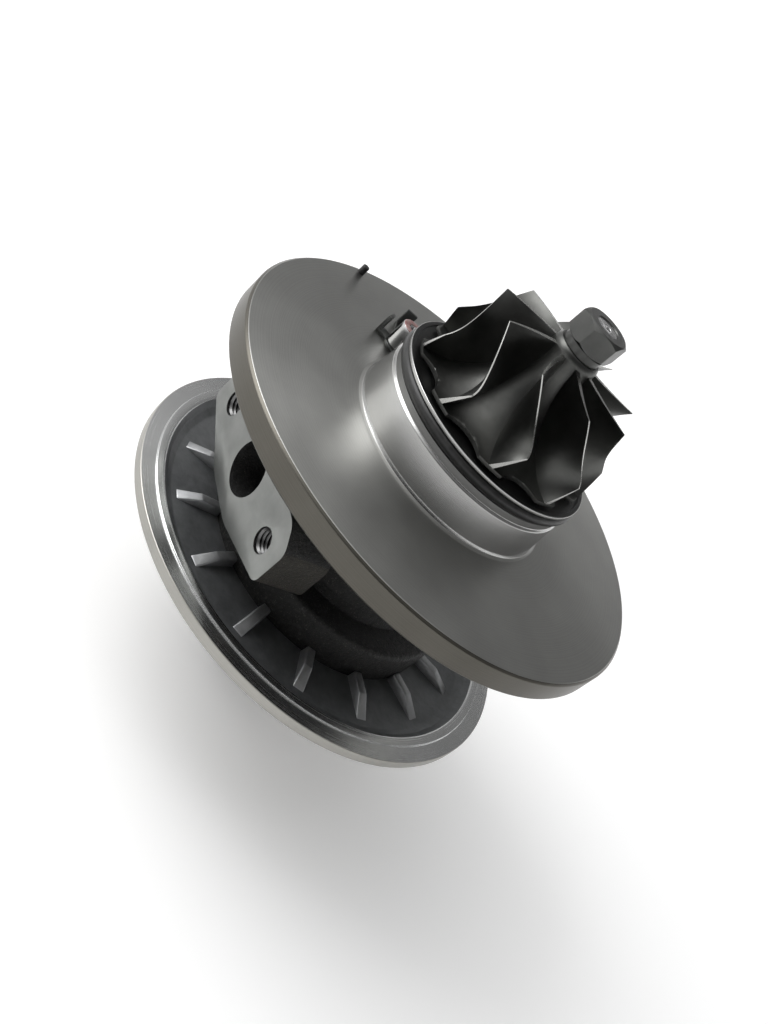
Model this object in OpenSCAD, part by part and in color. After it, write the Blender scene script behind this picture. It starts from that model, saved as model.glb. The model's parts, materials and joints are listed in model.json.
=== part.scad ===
// Turbocharger cartridge: bearing housing, backplate, rotor and seals.
// The shaft axis is Z and the compressor end is up. The origin is on the axis,
// in the plane of the flange face that seats on the turbine housing.
// The oil drain pad faces -Y. Angles called "at" turn from the drain side towards +X.

/* [Turbine flange] */
// Outer radius of the rim
flange_r = 53.5; // [52:0.1:58]
// Thickness of the rim
rim_t = 4; // [3.4:0.1:5]
// Radius of the shallow step on the rim face
rim_step_r = 49.7; // [49:0.1:51]
// Depth of the shallow step on the rim face
rim_step_depth = 0.5; // [0.3:0.1:0.8]
// Radius of the machined inner edge of the rim
dish_edge_r = 47.7; // [47:0.1:48.5]
// Radius where the dish wall meets the dish floor
dish_floor_r = 45; // [44.4:0.1:46]
// Depth of the dish below the rim face
dish_depth = 2.6; // [2:0.1:3]
// Radius of the spigot that centres the turbine housing
spigot_r = 48; // [46.5:0.1:49.5]
// Length of the spigot
spigot_len = 3.4; // [3:0.1:5]
// Number of ribs in the dish
rib_count = 15; // [9:1:18]
// Width of a rib
rib_w = 2.2; // [1.6:0.1:3]
// Height of a rib above the dish floor
rib_h = 2.3; // [2:0.1:3]
// Length of the flat top of a rib
rib_top_len = 5.5; // [4:0.1:6.5]
// Length of the slope at the outer end of a rib
rib_slope_len = 5.5; // [4:0.1:6]
// Angle of the first rib
rib_at = 17.6; // [0:0.1:24]

/* [Bearing housing] */
// Height of the face that carries the backplate
seat_z = 38.3; // [37.5:0.1:41]
// Radius of the plug that the flange is shrunk on
plug_r = 28.9; // [27.5:0.1:30]
// Radius of the collar that rests in the dish
collar_r = 31.8; // [31:0.1:32.4]
// Height of the collar above the dish floor
collar_h = 9.2; // [8:0.1:10]
// Round on the top edge of the collar
collar_round = 1.2; // [0.6:0.1:2]
// Radius of the waist
waist_r = 22.5; // [21:0.1:24]
// Fillet where the waist meets the head
waist_fillet = 3; // [2:0.1:4]
// Radius of the head behind the backplate
head_r = 41; // [39.5:0.1:44]
// Thickness of the head
head_t = 7.5; // [7:0.1:8.2]
// Radius of the bore that holds the floating bushes
bearing_bore_r = 6.5; // [6.3:0.05:7]
// Radius of the turbine seal bore
turbine_seal_r = 8.5; // [8.2:0.1:9]
// Length of the turbine seal bore
turbine_seal_len = 7; // [6.6:0.1:7.5]

/* [Oil drain] */
// Distance of the pad face from the shaft axis
pad_dist = 37.9; // [36:0.1:41]
// Height of the drain hole
pad_z = 19.6; // [19.2:0.1:20]
// Half length of the pad
pad_half_len = 26.3; // [25.5:0.1:30]
// Pad width from the hole centre to the turbine side
pad_low = 10.4; // [9.5:0.1:10.8]
// Pad width from the hole centre to the compressor side
pad_high = 9; // [8.4:0.1:9.6]
// Half length of the straight edge on the turbine side
pad_low_half = 7; // [5:0.1:9]
// Half width of the pad ends
pad_end_half = 5; // [4:0.1:6]
// Length of the corner chamfer on the compressor side
pad_corner = 5; // [3:0.1:6]
// Thickness of the pad behind its face
pad_t = 12; // [11:0.1:13]
// Half width of the neck that joins the pad to the waist
drain_neck_half = 14; // [12:0.1:15]
// Step of the neck inside the edge of the pad
drain_neck_step = 0.8; // [0.4:0.1:1.2]
// Radius of the drain hole
drain_r = 6.35; // [5.5:0.05:7]
// Depth of the wide part of the drain hole
drain_depth = 22; // [19:0.1:24]
// Radius of the narrow part that reaches the bearing bore
drain_throat_r = 2.8; // [2:0.1:3]
// Distance between the two drain screw holes
drain_screw_spacing = 38; // [35:0.1:40]
// Radius of a drain screw hole
drain_screw_r = 2.6; // [2:0.05:3.3]
// Depth of a drain screw hole
drain_screw_depth = 10; // [8:0.5:10.5]

/* [Oil inlet] */
// Distance of the inlet face from the shaft axis
inlet_dist = 35; // [32:0.1:38]
// Radius of the inlet boss
inlet_boss_r = 8.5; // [7.5:0.1:8.9]
// Radius of the tapped inlet hole
inlet_r = 4.5; // [4:0.05:5]
// Depth of the tapped inlet hole
inlet_depth = 10; // [8:0.1:12]
// Radius of the drillings to the two bushes
feed_r = 1.1; // [0.8:0.05:1.4]

/* [Backplate] */
// Radius of the backplate disc
disc_r = 57; // [55.5:0.1:62]
// Thickness of the backplate disc
disc_t = 6.3; // [6:0.1:8]
// Chamfer of the disc edges
disc_chamfer = 0.6; // [0.3:0.1:1]
// Height of the boss above the disc
boss_h = 14.9; // [14.5:0.1:18]
// Radius of the boss below its step
boss_step_r = 25.9; // [25.4:0.1:29]
// Growth of the boss radius from the step to the base
boss_draft = 0.6; // [0.3:0.1:1]
// Height of the boss step above the disc
boss_step_h = 8.9; // [8:0.1:9.6]
// Width of the step below the boss neck
boss_step_w = 0.5; // [0.3:0.1:0.8]
// Fillet at the foot of the boss
boss_fillet = 1; // [0.5:0.1:1.5]
// Reach of the lip above the ring groove beyond the boss neck
lip_reach = 0.7; // [0.5:0.1:0.9]
// Thickness of the lip
lip_t = 0.8; // [0.6:0.1:1]
// Width of the recessed land on the boss face, inside the lip
land_w = 1.1; // [0.8:0.1:1.5]
// Depth of the recess on the boss face
face_recess = 0.3; // [0.2:0.05:0.5]
// Radius of the cavity on the back of the disc
cavity_r = 19.4; // [18.8:0.1:20]
// Depth of the cavity on the back of the disc
cavity_depth = 4.7; // [4.2:0.1:5.2]
// Radius of the compressor seal bore
compressor_seal_r = 8.1; // [7.9:0.05:8.4]

/* [Seal rings] */
// Section radius of the ring on the boss
boss_ring_section = 1.45; // [1.3:0.05:1.6]
// Section radius of the ring behind the backplate
face_ring_section = 1; // [0.8:0.05:1.2]
// Middle radius of the ring behind the backplate
face_ring_r = 22.5; // [21.8:0.1:23.5]
// Width of a piston ring
piston_ring_w = 1.4; // [1.2:0.1:1.6]
// Radial thickness of a piston ring
piston_ring_t = 1; // [0.8:0.05:1.1]
// Gap of a piston ring
piston_ring_gap = 0.4; // [0.2:0.1:0.6]

/* [Fasteners on the backplate] */
// Gap between the foot of the boss and the lock plate
lock_gap = 0.1; // [0.05:0.05:0.5]
// Angle of the front screw
screw_at = -74; // [-80:0.5:-68]
// Thread radius of the front screw
screw_r = 2; // [1.8:0.05:2.2]
// Head radius of the front screw
screw_head_r = 3.1; // [2.9:0.05:3.3]
// Head height of the front screw
screw_head_h = 6.2; // [5:0.1:7]
// Socket radius of the front screw
screw_socket_r = 1.5; // [1.2:0.05:1.7]
// Length of the front screw below its head
screw_len = 12; // [11.5:0.1:12.8]
// Thickness of the lock plate
lock_t = 0.8; // [0.6:0.1:1]
// Radius of the lock plate round the screw
lock_r = 3.4; // [3.3:0.1:4]
// Width of an arm of the lock plate
lock_w = 3; // [2.5:0.1:3.5]
// Length of the short arm
lock_short_len = 6.1; // [5.6:0.1:7]
// Angle of the short arm from the outward direction
lock_short_at = 26; // [15:1:35]
// Length of the long arm
lock_long_len = 11.5; // [10:0.1:12.5]
// Angle of the long arm from the outward direction
lock_long_at = -42; // [-50:1:-30]
// Height of the bent tabs
lock_tab_h = 4.9; // [4:0.1:5.5]
// Distance of the rim dowel's axis from the edge of the disc
dowel_inset = 1.9; // [1.8:0.1:3]
// Angle of the rim dowel
dowel_at = -77; // [-84:0.5:-70]
// Radius of the rim dowel
dowel_r = 0.9; // [0.7:0.05:1]
// Height of the rim dowel above the disc
dowel_h = 2.2; // [1.5:0.1:4]
// Depth of the rim dowel in the disc
dowel_depth = 4; // [3:0.1:5]
// Radius of the circle of the bolts behind the backplate
bolt_circle_r = 34.5; // [33.5:0.1:35]
// Thread radius of a bolt behind the backplate
bolt_r = 2.5; // [2:0.05:2.8]
// Width across the flats of a bolt head
bolt_af = 8; // [7:0.1:8.5]
// Height of a bolt head
bolt_head_h = 3.5; // [3:0.1:4]
// Length of a bolt in the disc
bolt_grip = 4.4; // [4:0.1:5]
// Angles of the bolts behind the backplate
bolt_angles = [110, 150, 210, 250];

/* [Bushes and thrust parts] */
// Length of a floating bush
bush_len = 6.5; // [6:0.1:7]
// Outer oil clearance of a bush
bush_out_clear = 0.06; // [0.02:0.01:0.09]
// Inner oil clearance of a bush
bush_in_clear = 0.04; // [0.02:0.01:0.08]
// Number of oil holes in a bush
bush_hole_count = 6; // [4:1:8]
// Radius of an oil hole in a bush
bush_hole_r = 0.8; // [0.6:0.05:1]
// Width of a snap ring
snap_w = 0.9; // [0.8:0.05:1]
// Radial depth of a snap ring in its groove
snap_bite = 0.8; // [0.6:0.05:1]
// Radial reach of a snap ring into the bore
snap_reach = 0.9; // [0.6:0.05:1.1]
// End clearance between a bush and a snap ring
snap_gap = 0.15; // [0.1:0.01:0.2]
// Gap in a snap ring
snap_slit = 3; // [2:0.1:4]
// Thickness of the thrust bearing
thrust_t = 3; // [2.6:0.1:3.2]
// Radius of the thrust bearing
thrust_r = 18.9; // [18.2:0.1:19.2]
// Radius of the thrust collar and flinger discs
thrust_disc_r = 9.5; // [9:0.1:10]
// Thickness of the thrust collar disc
thrust_disc_t = 2.2; // [2:0.1:2.4]
// Radius of the neck of the thrust collar
thrust_neck_r = 5.4; // [5:0.1:5.8]
// End clearance of the thrust bearing on each side
thrust_clear = 0.08; // [0.05:0.01:0.1]
// Number of oil grooves in the thrust bearing
thrust_groove_count = 3; // [3:1:6]
// Width of an oil groove in the thrust bearing
thrust_groove_w = 1.6; // [1.2:0.1:2]
// Thickness of the flinger disc
flinger_disc_t = 1.8; // [1.6:0.1:2]
// Thickness of the oil deflector
deflector_t = 0.8; // [0.6:0.1:1]

/* [Shaft] */
// Radius of the bearing journals
journal_r = 4; // [3.6:0.05:4.4]
// Radius of the relief between the journals
relief_r = 3.6; // [3.4:0.05:3.6]
// Radius of the stub that carries the compressor wheel
stub_r = 3; // [2.8:0.05:3.2]
// Sliding clearance of the parts stacked on the stub
stub_clear = 0.02; // [0.01:0.01:0.04]
// Running clearance of the seal hubs in their bores
seal_clear = 0.1; // [0.05:0.01:0.1]
// Distance of the stub end below the nut face
stub_sink = 0.8; // [0.4:0.1:1.2]
// Radius of the centre hole in the stub
centre_r = 1; // [0.6:0.1:1.2]

/* [Compressor wheel] */
// Number of blades
blade_count = 9; // [7:1:10]
// Gap between the wheel and the lip of the boss
wheel_gap = 0.4; // [0.3:0.05:0.6]
// Radius of the blades at the outlet
outlet_r = 24; // [23.5:0.1:25]
// Thickness of the wheel disc at the outlet
outlet_disc_t = 0.8; // [0.7:0.1:1]
// Height of the blades at the outlet
outlet_h = 8.2; // [7:0.1:9]
// Height by which the outlet corner of a blade is lowered
outlet_corner = 1.8; // [1:0.1:2.5]
// Radius of the blades at the inlet
inlet_tip_r = 19.5; // [18.5:0.1:20]
// Height of the inlet tips above the wheel back
inlet_tip_h = 19.8; // [18.5:0.1:21]
// Radius of the hub at the inlet
hub_r = 6; // [5.5:0.1:6.5]
// Height of the blade roots at the inlet
hub_h = 21; // [20:0.1:21.4]
// Height of the hub nose
nose_h = 22.6; // [22:0.1:24]
// Angle of the first inlet tip
inlet_tip_at = -1; // [-20:0.5:20]
// Lead of the inlet root over the inlet tip
root_lead = 8; // [0:0.5:12]
// Turn of a blade from the inlet to the outlet
blade_wrap = 27; // [18:0.5:36]
// Lean of the outlet edge towards the wheel disc
outlet_lean = 8.5; // [4:0.5:10]
// Half thickness of a blade at the root
blade_root_half = 0.6; // [0.5:0.05:0.7]
// Half thickness of a blade at the tip
blade_tip_half = 0.28; // [0.24:0.02:0.36]
// Radius of a scallop between the blades
scallop_r = 6.5; // [5.5:0.1:7]
// Depth of a scallop into the wheel disc
scallop_depth = 3; // [2:0.1:3.5]

/* [Compressor nut] */
// Width across the flats
nut_af = 11; // [10:0.1:11.6]
// Height of the hexagon
nut_hex_h = 5.6; // [5:0.1:6.5]
// Radius of the neck below the hexagon
nut_neck_r = 4.9; // [4.6:0.1:5.2]
// Height of the neck below the hexagon
nut_neck_h = 1.9; // [1.5:0.1:2.4]

/* [Turbine wheel] */
// Number of blades
turbine_count = 11; // [9:1:12]
// Radius of the blades at the gas inlet
gas_inlet_r = 21; // [20:0.1:22.5]
// Height of the blades at the gas inlet
gas_inlet_h = 7.5; // [6.5:0.1:8.5]
// Thickness of the turbine disc
turbine_disc_t = 1.4; // [1.2:0.1:1.8]
// Gap between the heat shield and the turbine disc
shield_gap = 1; // [0.6:0.1:1.4]
// Radius of the blades at the gas outlet
gas_outlet_r = 18.8; // [18:0.1:19.5]
// Length of the blades along the shaft
turbine_len = 17.5; // [16:0.1:19]
// Radius of the turbine hub at the gas outlet
turbine_hub_r = 5.6; // [5:0.1:6.2]
// Length of the turbine hub beyond the blades
turbine_hub_end = 1.2; // [0.8:0.1:2]
// Turn of a turbine blade
turbine_wrap = -34; // [-44:0.5:-24]
// Half thickness of a turbine blade at the root
turbine_root_half = 0.75; // [0.6:0.05:0.8]
// Half thickness of a turbine blade at the tip
turbine_tip_half = 0.4; // [0.34:0.02:0.44]
// Radius of a scallop between the turbine blades
turbine_scallop_r = 5; // [4.5:0.1:5.5]
// Depth of a scallop into the turbine disc
turbine_scallop_depth = 2; // [1.5:0.1:2.4]
// Length of the hexagon at the end of the turbine wheel
turbine_nose_len = 4.5; // [4:0.1:6]
// Width across the flats of that hexagon
turbine_nose_af = 8; // [7.5:0.1:8.5]

/* [Heat shield] */
// Sheet thickness
shield_t = 0.8; // [0.6:0.1:1]
// Outer radius of the seat
shield_r = 44; // [42:0.1:45.5]
// Radius of the raised cup
cup_r = 25; // [24:0.1:27]
// Depth of the cup
cup_depth = 3.2; // [2.8:0.1:3.6]
// Clearance of the centre hole round the shaft
shield_clear = 0.8; // [0.6:0.1:1]

/* [Hidden] */
$fn = 96;

iron = [0.10, 0.10, 0.10];
cast_grey = [0.55, 0.56, 0.57];
steel = [0.72, 0.72, 0.70];
dark_steel = [0.35, 0.36, 0.38];
wheel_grey = [0.30, 0.31, 0.33];
bronze = [0.66, 0.48, 0.24];
rubber = [0.05, 0.05, 0.05];
sheet_grey = [0.62, 0.62, 0.62];

// Overshoot of a cut beyond the face that it opens
cut = 1;
// Clearance of a fixed part in its seat
seat_clear = 0.03;
// Radial play of a screw in its hole
hole_play = 0.1;
// Reach of a wheel disc beyond its blades
disc_reach = 0.15;

// Heights along the shaft
dish_floor_z = rim_t - dish_depth;
collar_top_z = dish_floor_z + collar_h;
head_z = seat_z - head_t;
disc_front_z = seat_z + disc_t;
dowel_circle_r = disc_r - dowel_inset;
boss_r = boss_step_r + boss_draft;
boss_neck_r = boss_step_r - boss_step_w;
lip_r = boss_neck_r + lip_reach;
screw_circle_r = boss_r + boss_fillet + lock_gap + lock_r;
boss_step_z = disc_front_z + boss_step_h;
boss_top_z = disc_front_z + boss_h;
ring_groove_w = 2 * boss_ring_section + 2 * seat_clear;
ring_groove_top = boss_top_z - lip_t;
ring_groove_z = ring_groove_top - ring_groove_w;
lip_ring_reach = 0.35;
boss_ring_r = lip_r + lip_ring_reach - boss_ring_section;
ring_groove_r = boss_ring_r - boss_ring_section - seat_clear;
wheel_z = boss_top_z + wheel_gap;
nose_z = wheel_z + nose_h;
nut_hex_z = nose_z + nut_neck_h;
nut_top_z = nut_hex_z + nut_hex_h;
cavity_top_z = seat_z + cavity_depth;

// Thrust stack, from the housing seat down to the shaft shoulder
thrust_z = seat_z - thrust_t;
shoulder_z = thrust_z - thrust_clear - thrust_disc_t;
collar_recess_gap = 0.4;
collar_recess_z = shoulder_z - collar_recess_gap;
flinger_z = seat_z + thrust_clear;

// Bushes and their snap rings
seal_bore_top_z = turbine_seal_len - spigot_len;
snap_land = 1;
turbine_bush_z = seal_bore_top_z + snap_land + snap_w + snap_gap;
compressor_bush_z = collar_recess_z - snap_land - snap_w - snap_gap - bush_len;
bush_r = bearing_bore_r - bush_out_clear;
bush_bore_r = journal_r + bush_in_clear;
snap_out_r = bearing_bore_r + snap_bite;
snap_in_r = bearing_bore_r - snap_reach;
snap_clear = 0.05;
snap_heights = [
    for (z = [turbine_bush_z, compressor_bush_z], side = [-snap_gap - snap_w, bush_len + snap_gap]) z + side
];

// Turbine end
shield_floor_z = -spigot_len - cup_depth;
turbine_back_z = shield_floor_z - shield_t - shield_gap;
turbine_end_z = turbine_back_z - turbine_disc_t - turbine_len;
weld_inset = 1.2;
weld_z = turbine_back_z + weld_inset;
turbine_hub_seal_r = turbine_seal_r - seal_clear;
shield_hole_r = turbine_hub_seal_r + shield_clear;

// Piston rings and their grooves in the rotor
ring_side_clear = 0.12;
ring_back_clear = 0.3;
groove_w = piston_ring_w + 2 * ring_side_clear;
turbine_ring_z = seal_bore_top_z / 2 - piston_ring_w / 2;
compressor_ring_z = (cavity_top_z + boss_top_z) / 2;
flinger_r = compressor_seal_r - seal_clear;

// A feature on a circle round the shaft, at an angle from the drain side
module at_angle(radius, angle) {
    rotate([0, 0, angle - 90]) translate([radius, 0, 0]) children();
}

module washer(inner, outer, height) {
    difference() {
        cylinder(r = outer, h = height);
        translate([0, 0, -cut]) cylinder(r = inner, h = height + 2 * cut);
    }
}

module torus(radius, section) {
    rotate_extrude() translate([radius, 0]) circle(r = section, $fn = 48);
}

module hexagon(across_flats, height) {
    cylinder(r = across_flats / 2 / cos(30), h = height, $fn = 6);
}

module split_ring(inner, outer, height, slit) {
    difference() {
        washer(inner, outer, height);
        translate([0, -slit / 2, -cut]) cube([outer + cut, slit, height + 2 * cut]);
    }
}

// A drilling of a given radius in the YZ plane, from one point to another
module drilling(from, to, radius) {
    run = to - from;
    translate([0, from[0], from[1]]) rotate([-atan2(run[0], run[1]), 0, 0])
        cylinder(r = radius, h = norm(run));
}

// A blade row. Each wheel has an axial end and a radial end, and the hub and tip lines
// run between them on quarter ellipses. Points are [radius, height].
function contour(axial, radial, s) = [
    axial[0] + (radial[0] - axial[0]) * (1 - cos(90 * s)),
    radial[1] + (axial[1] - radial[1]) * (1 - sin(90 * s))
];

function contour_points(axial, radial, steps) = [
    for (i = [0:steps]) contour(axial, radial, i / steps)
];

// The outline of a hub, which reaches a little beyond its blades at both ends
function hub_line(hub, steps) = contour_points(
    hub[0] + [0, disc_reach * sign(hub[0][1] - hub[1][1])], hub[1] + [disc_reach, 0], steps
);

function mix(a, b, s) = a + (b - a) * s;

// The tip line, with its corner at the radial end lowered to a soft bend
function tip_line(tip, corner, s) = contour(tip[0], tip[1], s) - [0, corner * pow(s, 8)];

// A point of a blade: s runs from the axial end to the radial end, v from the root to the tip
function blade_point(hub, tip, turn, half, corner, s, v, side) =
    let (
        p = mix(contour(hub[0], hub[1], s), tip_line(tip, corner, s), v),
        bend = 1 - pow(1 - s, 1.5),
        angle = mix(mix(turn[0], turn[1], v), mix(turn[2], turn[3], v), bend),
        offset_angle = side * mix(half[0], half[1], v) / p[0] * 180 / PI,
        a = angle + offset_angle - 90
    )
    [p[0] * cos(a), p[0] * sin(a), p[1]];

// hub and tip are [axial end, radial end], turn is the angles [axial root, axial tip,
// radial root, radial tip], half is the half thickness at the root and the tip and corner
// is the height by which the outlet corner of the tip is lowered
module blade(hub, tip, turn, half, along, across, sink, corner) {
    row = across + 1;
    sheet = row * (along + 1);
    hand = sign(hub[1][1] - hub[0][1]);
    points = [
        for (side = [-hand, hand], i = [0:along], j = [0:across])
            blade_point(hub, tip, turn, half, corner, i / along, mix(-sink, 1, j / across), side)
    ];
    faces = concat(
        [for (i = [0:along - 1], j = [0:across - 1]) let (k = i * row + j)
            each [[k, k + row, k + row + 1], [k, k + row + 1, k + 1]]],
        [for (i = [0:along - 1], j = [0:across - 1]) let (k = sheet + i * row + j)
            each [[k, k + row + 1, k + row], [k, k + 1, k + row + 1]]],
        [for (i = [0:along - 1], edge = [0, across]) let (
                k = i * row + edge,
                a = edge == 0 ? k + row : k,
                b = edge == 0 ? k : k + row
            )
            each [[a, b, b + sheet], [a, b + sheet, a + sheet]]],
        [for (j = [0:across - 1], edge = [0, along]) let (
                k = edge * row + j,
                a = edge == 0 ? k : k + 1,
                b = edge == 0 ? k + 1 : k
            )
            each [[a, b, b + sheet], [a, b + sheet, a + sheet]]]
    );
    polyhedron(points, faces, convexity = 4);
}

module scallops(count, disc_radius, radius, depth, first, z, height) {
    for (i = [0:count - 1])
        at_angle(disc_radius + radius - depth, first + 360 / count * (i + 0.5))
            translate([0, 0, z]) cylinder(r = radius, h = height);
}

// Outline of the drain pad, seen on its face, with the hole at the middle
module pad_outline() {
    polygon([
        [-pad_half_len, -pad_end_half], [-pad_low_half, -pad_low], [pad_low_half, -pad_low],
        [pad_half_len, -pad_end_half], [pad_half_len, pad_end_half],
        [pad_half_len - pad_corner, pad_high], [pad_corner - pad_half_len, pad_high],
        [-pad_half_len, pad_end_half]
    ]);
}

module housing_body() {
    rotate_extrude() polygon(concat(
        [[0, -spigot_len], [plug_r, -spigot_len], [plug_r, dish_floor_z], [collar_r, dish_floor_z]],
        [for (a = [0:15:90]) [
            collar_r - collar_round * (1 - cos(a)), collar_top_z - collar_round * (1 - sin(a))
        ]],
        [[waist_r, collar_top_z]],
        [for (a = [0:15:90]) [
            waist_r + waist_fillet * (1 - cos(a)), head_z - waist_fillet * (1 - sin(a))
        ]],
        [[head_r, head_z], [head_r, seat_z], [0, seat_z]]
    ));
    translate([0, -pad_dist + pad_t, pad_z]) rotate([90, 0, 0]) linear_extrude(pad_t) pad_outline();
    translate([-drain_neck_half, cut - pad_dist, pad_z - pad_low + drain_neck_step])
        cube([2 * drain_neck_half, pad_dist - cut, pad_low + pad_high - 2 * drain_neck_step]);
    translate([0, 0, pad_z]) rotate([-90, 0, 0]) cylinder(r = inlet_boss_r, h = inlet_dist);
}

module housing_bores() {
    translate([0, 0, -spigot_len - cut]) cylinder(r = turbine_seal_r, h = turbine_seal_len + cut);
    cylinder(r = bearing_bore_r, h = seat_z);
    translate([0, 0, collar_recess_z]) cylinder(r = thrust_disc_r + cut, h = seat_z);
    translate([0, 0, thrust_z]) cylinder(r = thrust_r + seat_clear, h = seat_z);
    for (z = snap_heights)
        translate([0, 0, z - snap_clear]) cylinder(r = snap_out_r + snap_clear, h = snap_w + 2 * snap_clear);
}

module housing_ports() {
    translate([0, -pad_dist - cut, pad_z]) rotate([-90, 0, 0]) cylinder(r = drain_r, h = drain_depth + cut);
    translate([0, -pad_dist, pad_z]) rotate([-90, 0, 0]) cylinder(r = drain_throat_r, h = pad_dist);
    for (side = [-1, 1])
        translate([side * drain_screw_spacing / 2, -pad_dist - cut, pad_z]) rotate([-90, 0, 0])
            cylinder(r = drain_screw_r, h = drain_screw_depth + cut);
    inlet_floor = inlet_dist - inlet_depth;
    translate([0, inlet_floor, pad_z]) rotate([-90, 0, 0]) cylinder(r = inlet_r, h = inlet_depth + cut);
    for (z = [turbine_bush_z, compressor_bush_z])
        drilling([inlet_floor + cut, pad_z], [bearing_bore_r - cut, z + bush_len / 2], feed_r);
}

module bearing_housing() {
    color(iron) difference() {
        housing_body();
        housing_bores();
        housing_ports();
        translate([0, 0, seat_z - 2 * face_ring_section - 2 * seat_clear])
            washer(face_ring_r - face_ring_section - seat_clear, face_ring_r + face_ring_section + seat_clear,
                2 * face_ring_section + 2 * seat_clear + cut);
        at_angle(screw_circle_r, screw_at)
            translate([0, 0, head_z - cut]) cylinder(r = screw_r + hole_play, h = head_t + 2 * cut);
        for (a = bolt_angles)
            at_angle(bolt_circle_r, a)
                translate([0, 0, head_z - cut]) cylinder(r = bolt_r + hole_play, h = head_t + 2 * cut);
    }
}

module dish_rib() {
    rib_in_r = collar_r + hole_play;
    top = rib_in_r + rib_top_len;
    rotate([90, 0, 0]) translate([0, 0, -rib_w / 2]) linear_extrude(rib_w) polygon([
        [rib_in_r, dish_floor_z - cut], [rib_in_r, dish_floor_z + rib_h], [top, dish_floor_z + rib_h],
        [top + rib_slope_len, dish_floor_z], [top + rib_slope_len, dish_floor_z - cut]
    ]);
}

module turbine_flange() {
    rim_chamfer = 1;
    color(cast_grey) union() {
        rotate_extrude() polygon([
            [plug_r + seat_clear, -spigot_len], [spigot_r, -spigot_len], [spigot_r, 0],
            [flange_r - rim_chamfer, 0], [flange_r, rim_chamfer], [flange_r, rim_t - rim_step_depth],
            [rim_step_r, rim_t - rim_step_depth], [rim_step_r, rim_t], [dish_edge_r, rim_t],
            [dish_floor_r, dish_floor_z], [plug_r + seat_clear, dish_floor_z]
        ]);
        for (i = [0:rib_count - 1])
            rotate([0, 0, rib_at + 360 / rib_count * i - 90]) dish_rib();
    }
}

module heat_shield() {
    color(sheet_grey) rotate_extrude() polygon([
        [shield_hole_r, shield_floor_z], [cup_r - shield_t, shield_floor_z],
        [cup_r, -spigot_len], [shield_r, -spigot_len], [shield_r, -spigot_len - shield_t],
        [cup_r + shield_t, -spigot_len - shield_t], [cup_r, shield_floor_z - shield_t],
        [shield_hole_r, shield_floor_z - shield_t]
    ]);
}

module backplate_body() {
    rotate_extrude() polygon(concat(
        [[cavity_r, seat_z], [disc_r - disc_chamfer, seat_z], [disc_r, seat_z + disc_chamfer],
            [disc_r, disc_front_z - disc_chamfer], [disc_r - disc_chamfer, disc_front_z]],
        [for (a = [0:15:90]) [
            boss_r + boss_fillet * (1 - sin(a)), disc_front_z + boss_fillet * (1 - cos(a))
        ]],
        [[boss_step_r, boss_step_z], [boss_neck_r, boss_step_z + boss_step_r - boss_neck_r],
            [boss_neck_r, ring_groove_z], [ring_groove_r, ring_groove_z],
            [ring_groove_r, ring_groove_top], [lip_r, ring_groove_top], [lip_r, boss_top_z],
            [lip_r - land_w, boss_top_z], [lip_r - land_w, boss_top_z - face_recess],
            [compressor_seal_r, boss_top_z - face_recess], [compressor_seal_r, cavity_top_z],
            [cavity_r, cavity_top_z]]
    ));
}

module compressor_backplate() {
    color(steel) difference() {
        backplate_body();
        at_angle(screw_circle_r, screw_at)
            translate([0, 0, seat_z - cut]) cylinder(r = screw_r + hole_play, h = disc_t + 2 * cut);
        at_angle(dowel_circle_r, dowel_at)
            translate([0, 0, disc_front_z - dowel_depth]) cylinder(r = dowel_r + seat_clear, h = dowel_depth + cut);
        for (a = bolt_angles)
            at_angle(bolt_circle_r, a)
                translate([0, 0, seat_z - cut]) cylinder(r = bolt_r + hole_play, h = bolt_grip + cut + hole_play);
    }
}

module boss_seal_ring() {
    color(rubber) translate([0, 0, ring_groove_z + ring_groove_w / 2])
        torus(boss_ring_r, boss_ring_section);
}

module face_seal_ring() {
    color(rubber) translate([0, 0, seat_z - face_ring_section - seat_clear])
        torus(face_ring_r, face_ring_section);
}

module front_screw() {
    head_z_on_plate = disc_front_z + lock_t;
    color(dark_steel) at_angle(screw_circle_r, screw_at) difference() {
        union() {
            translate([0, 0, head_z_on_plate - screw_len]) cylinder(r = screw_r, h = screw_len);
            translate([0, 0, head_z_on_plate]) cylinder(r = screw_head_r, h = screw_head_h);
        }
        translate([0, 0, head_z_on_plate + screw_head_h / 2])
            cylinder(r = screw_socket_r, h = screw_head_h, $fn = 6);
    }
}

module lock_plate() {
    arms = [[lock_short_len, lock_short_at], [lock_long_len, lock_long_at]];
    color(dark_steel) at_angle(screw_circle_r, screw_at) translate([0, 0, disc_front_z]) difference() {
        union() {
            cylinder(r = lock_r, h = lock_t);
            for (arm = arms)
                rotate([0, 0, arm[1]]) translate([0, -lock_w / 2, 0]) {
                    cube([arm[0], lock_w, lock_t]);
                    translate([arm[0] - lock_t, 0, 0]) cube([lock_t, lock_w, lock_tab_h]);
                }
        }
        translate([0, 0, -cut]) cylinder(r = screw_r + hole_play, h = lock_t + 2 * cut);
    }
}

module rim_dowel() {
    color(dark_steel) at_angle(dowel_circle_r, dowel_at)
        translate([0, 0, disc_front_z - dowel_depth]) cylinder(r = dowel_r, h = dowel_depth + dowel_h);
}

module backplate_bolts() {
    color(dark_steel) for (a = bolt_angles)
        at_angle(bolt_circle_r, a) translate([0, 0, head_z]) {
            cylinder(r = bolt_r, h = head_t + bolt_grip);
            translate([0, 0, -bolt_head_h]) hexagon(bolt_af, bolt_head_h);
        }
}

module thrust_bearing() {
    neck_clear = 0.2;
    groove_depth = thrust_t / 6;
    color(bronze) difference() {
        translate([0, 0, thrust_z]) washer(thrust_neck_r + neck_clear, thrust_r, thrust_t);
        for (i = [0:thrust_groove_count - 1])
            rotate([0, 0, 360 / thrust_groove_count * i]) translate([0, -thrust_groove_w / 2, seat_z - groove_depth])
                cube([thrust_disc_r, thrust_groove_w, thrust_t]);
    }
}

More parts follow.
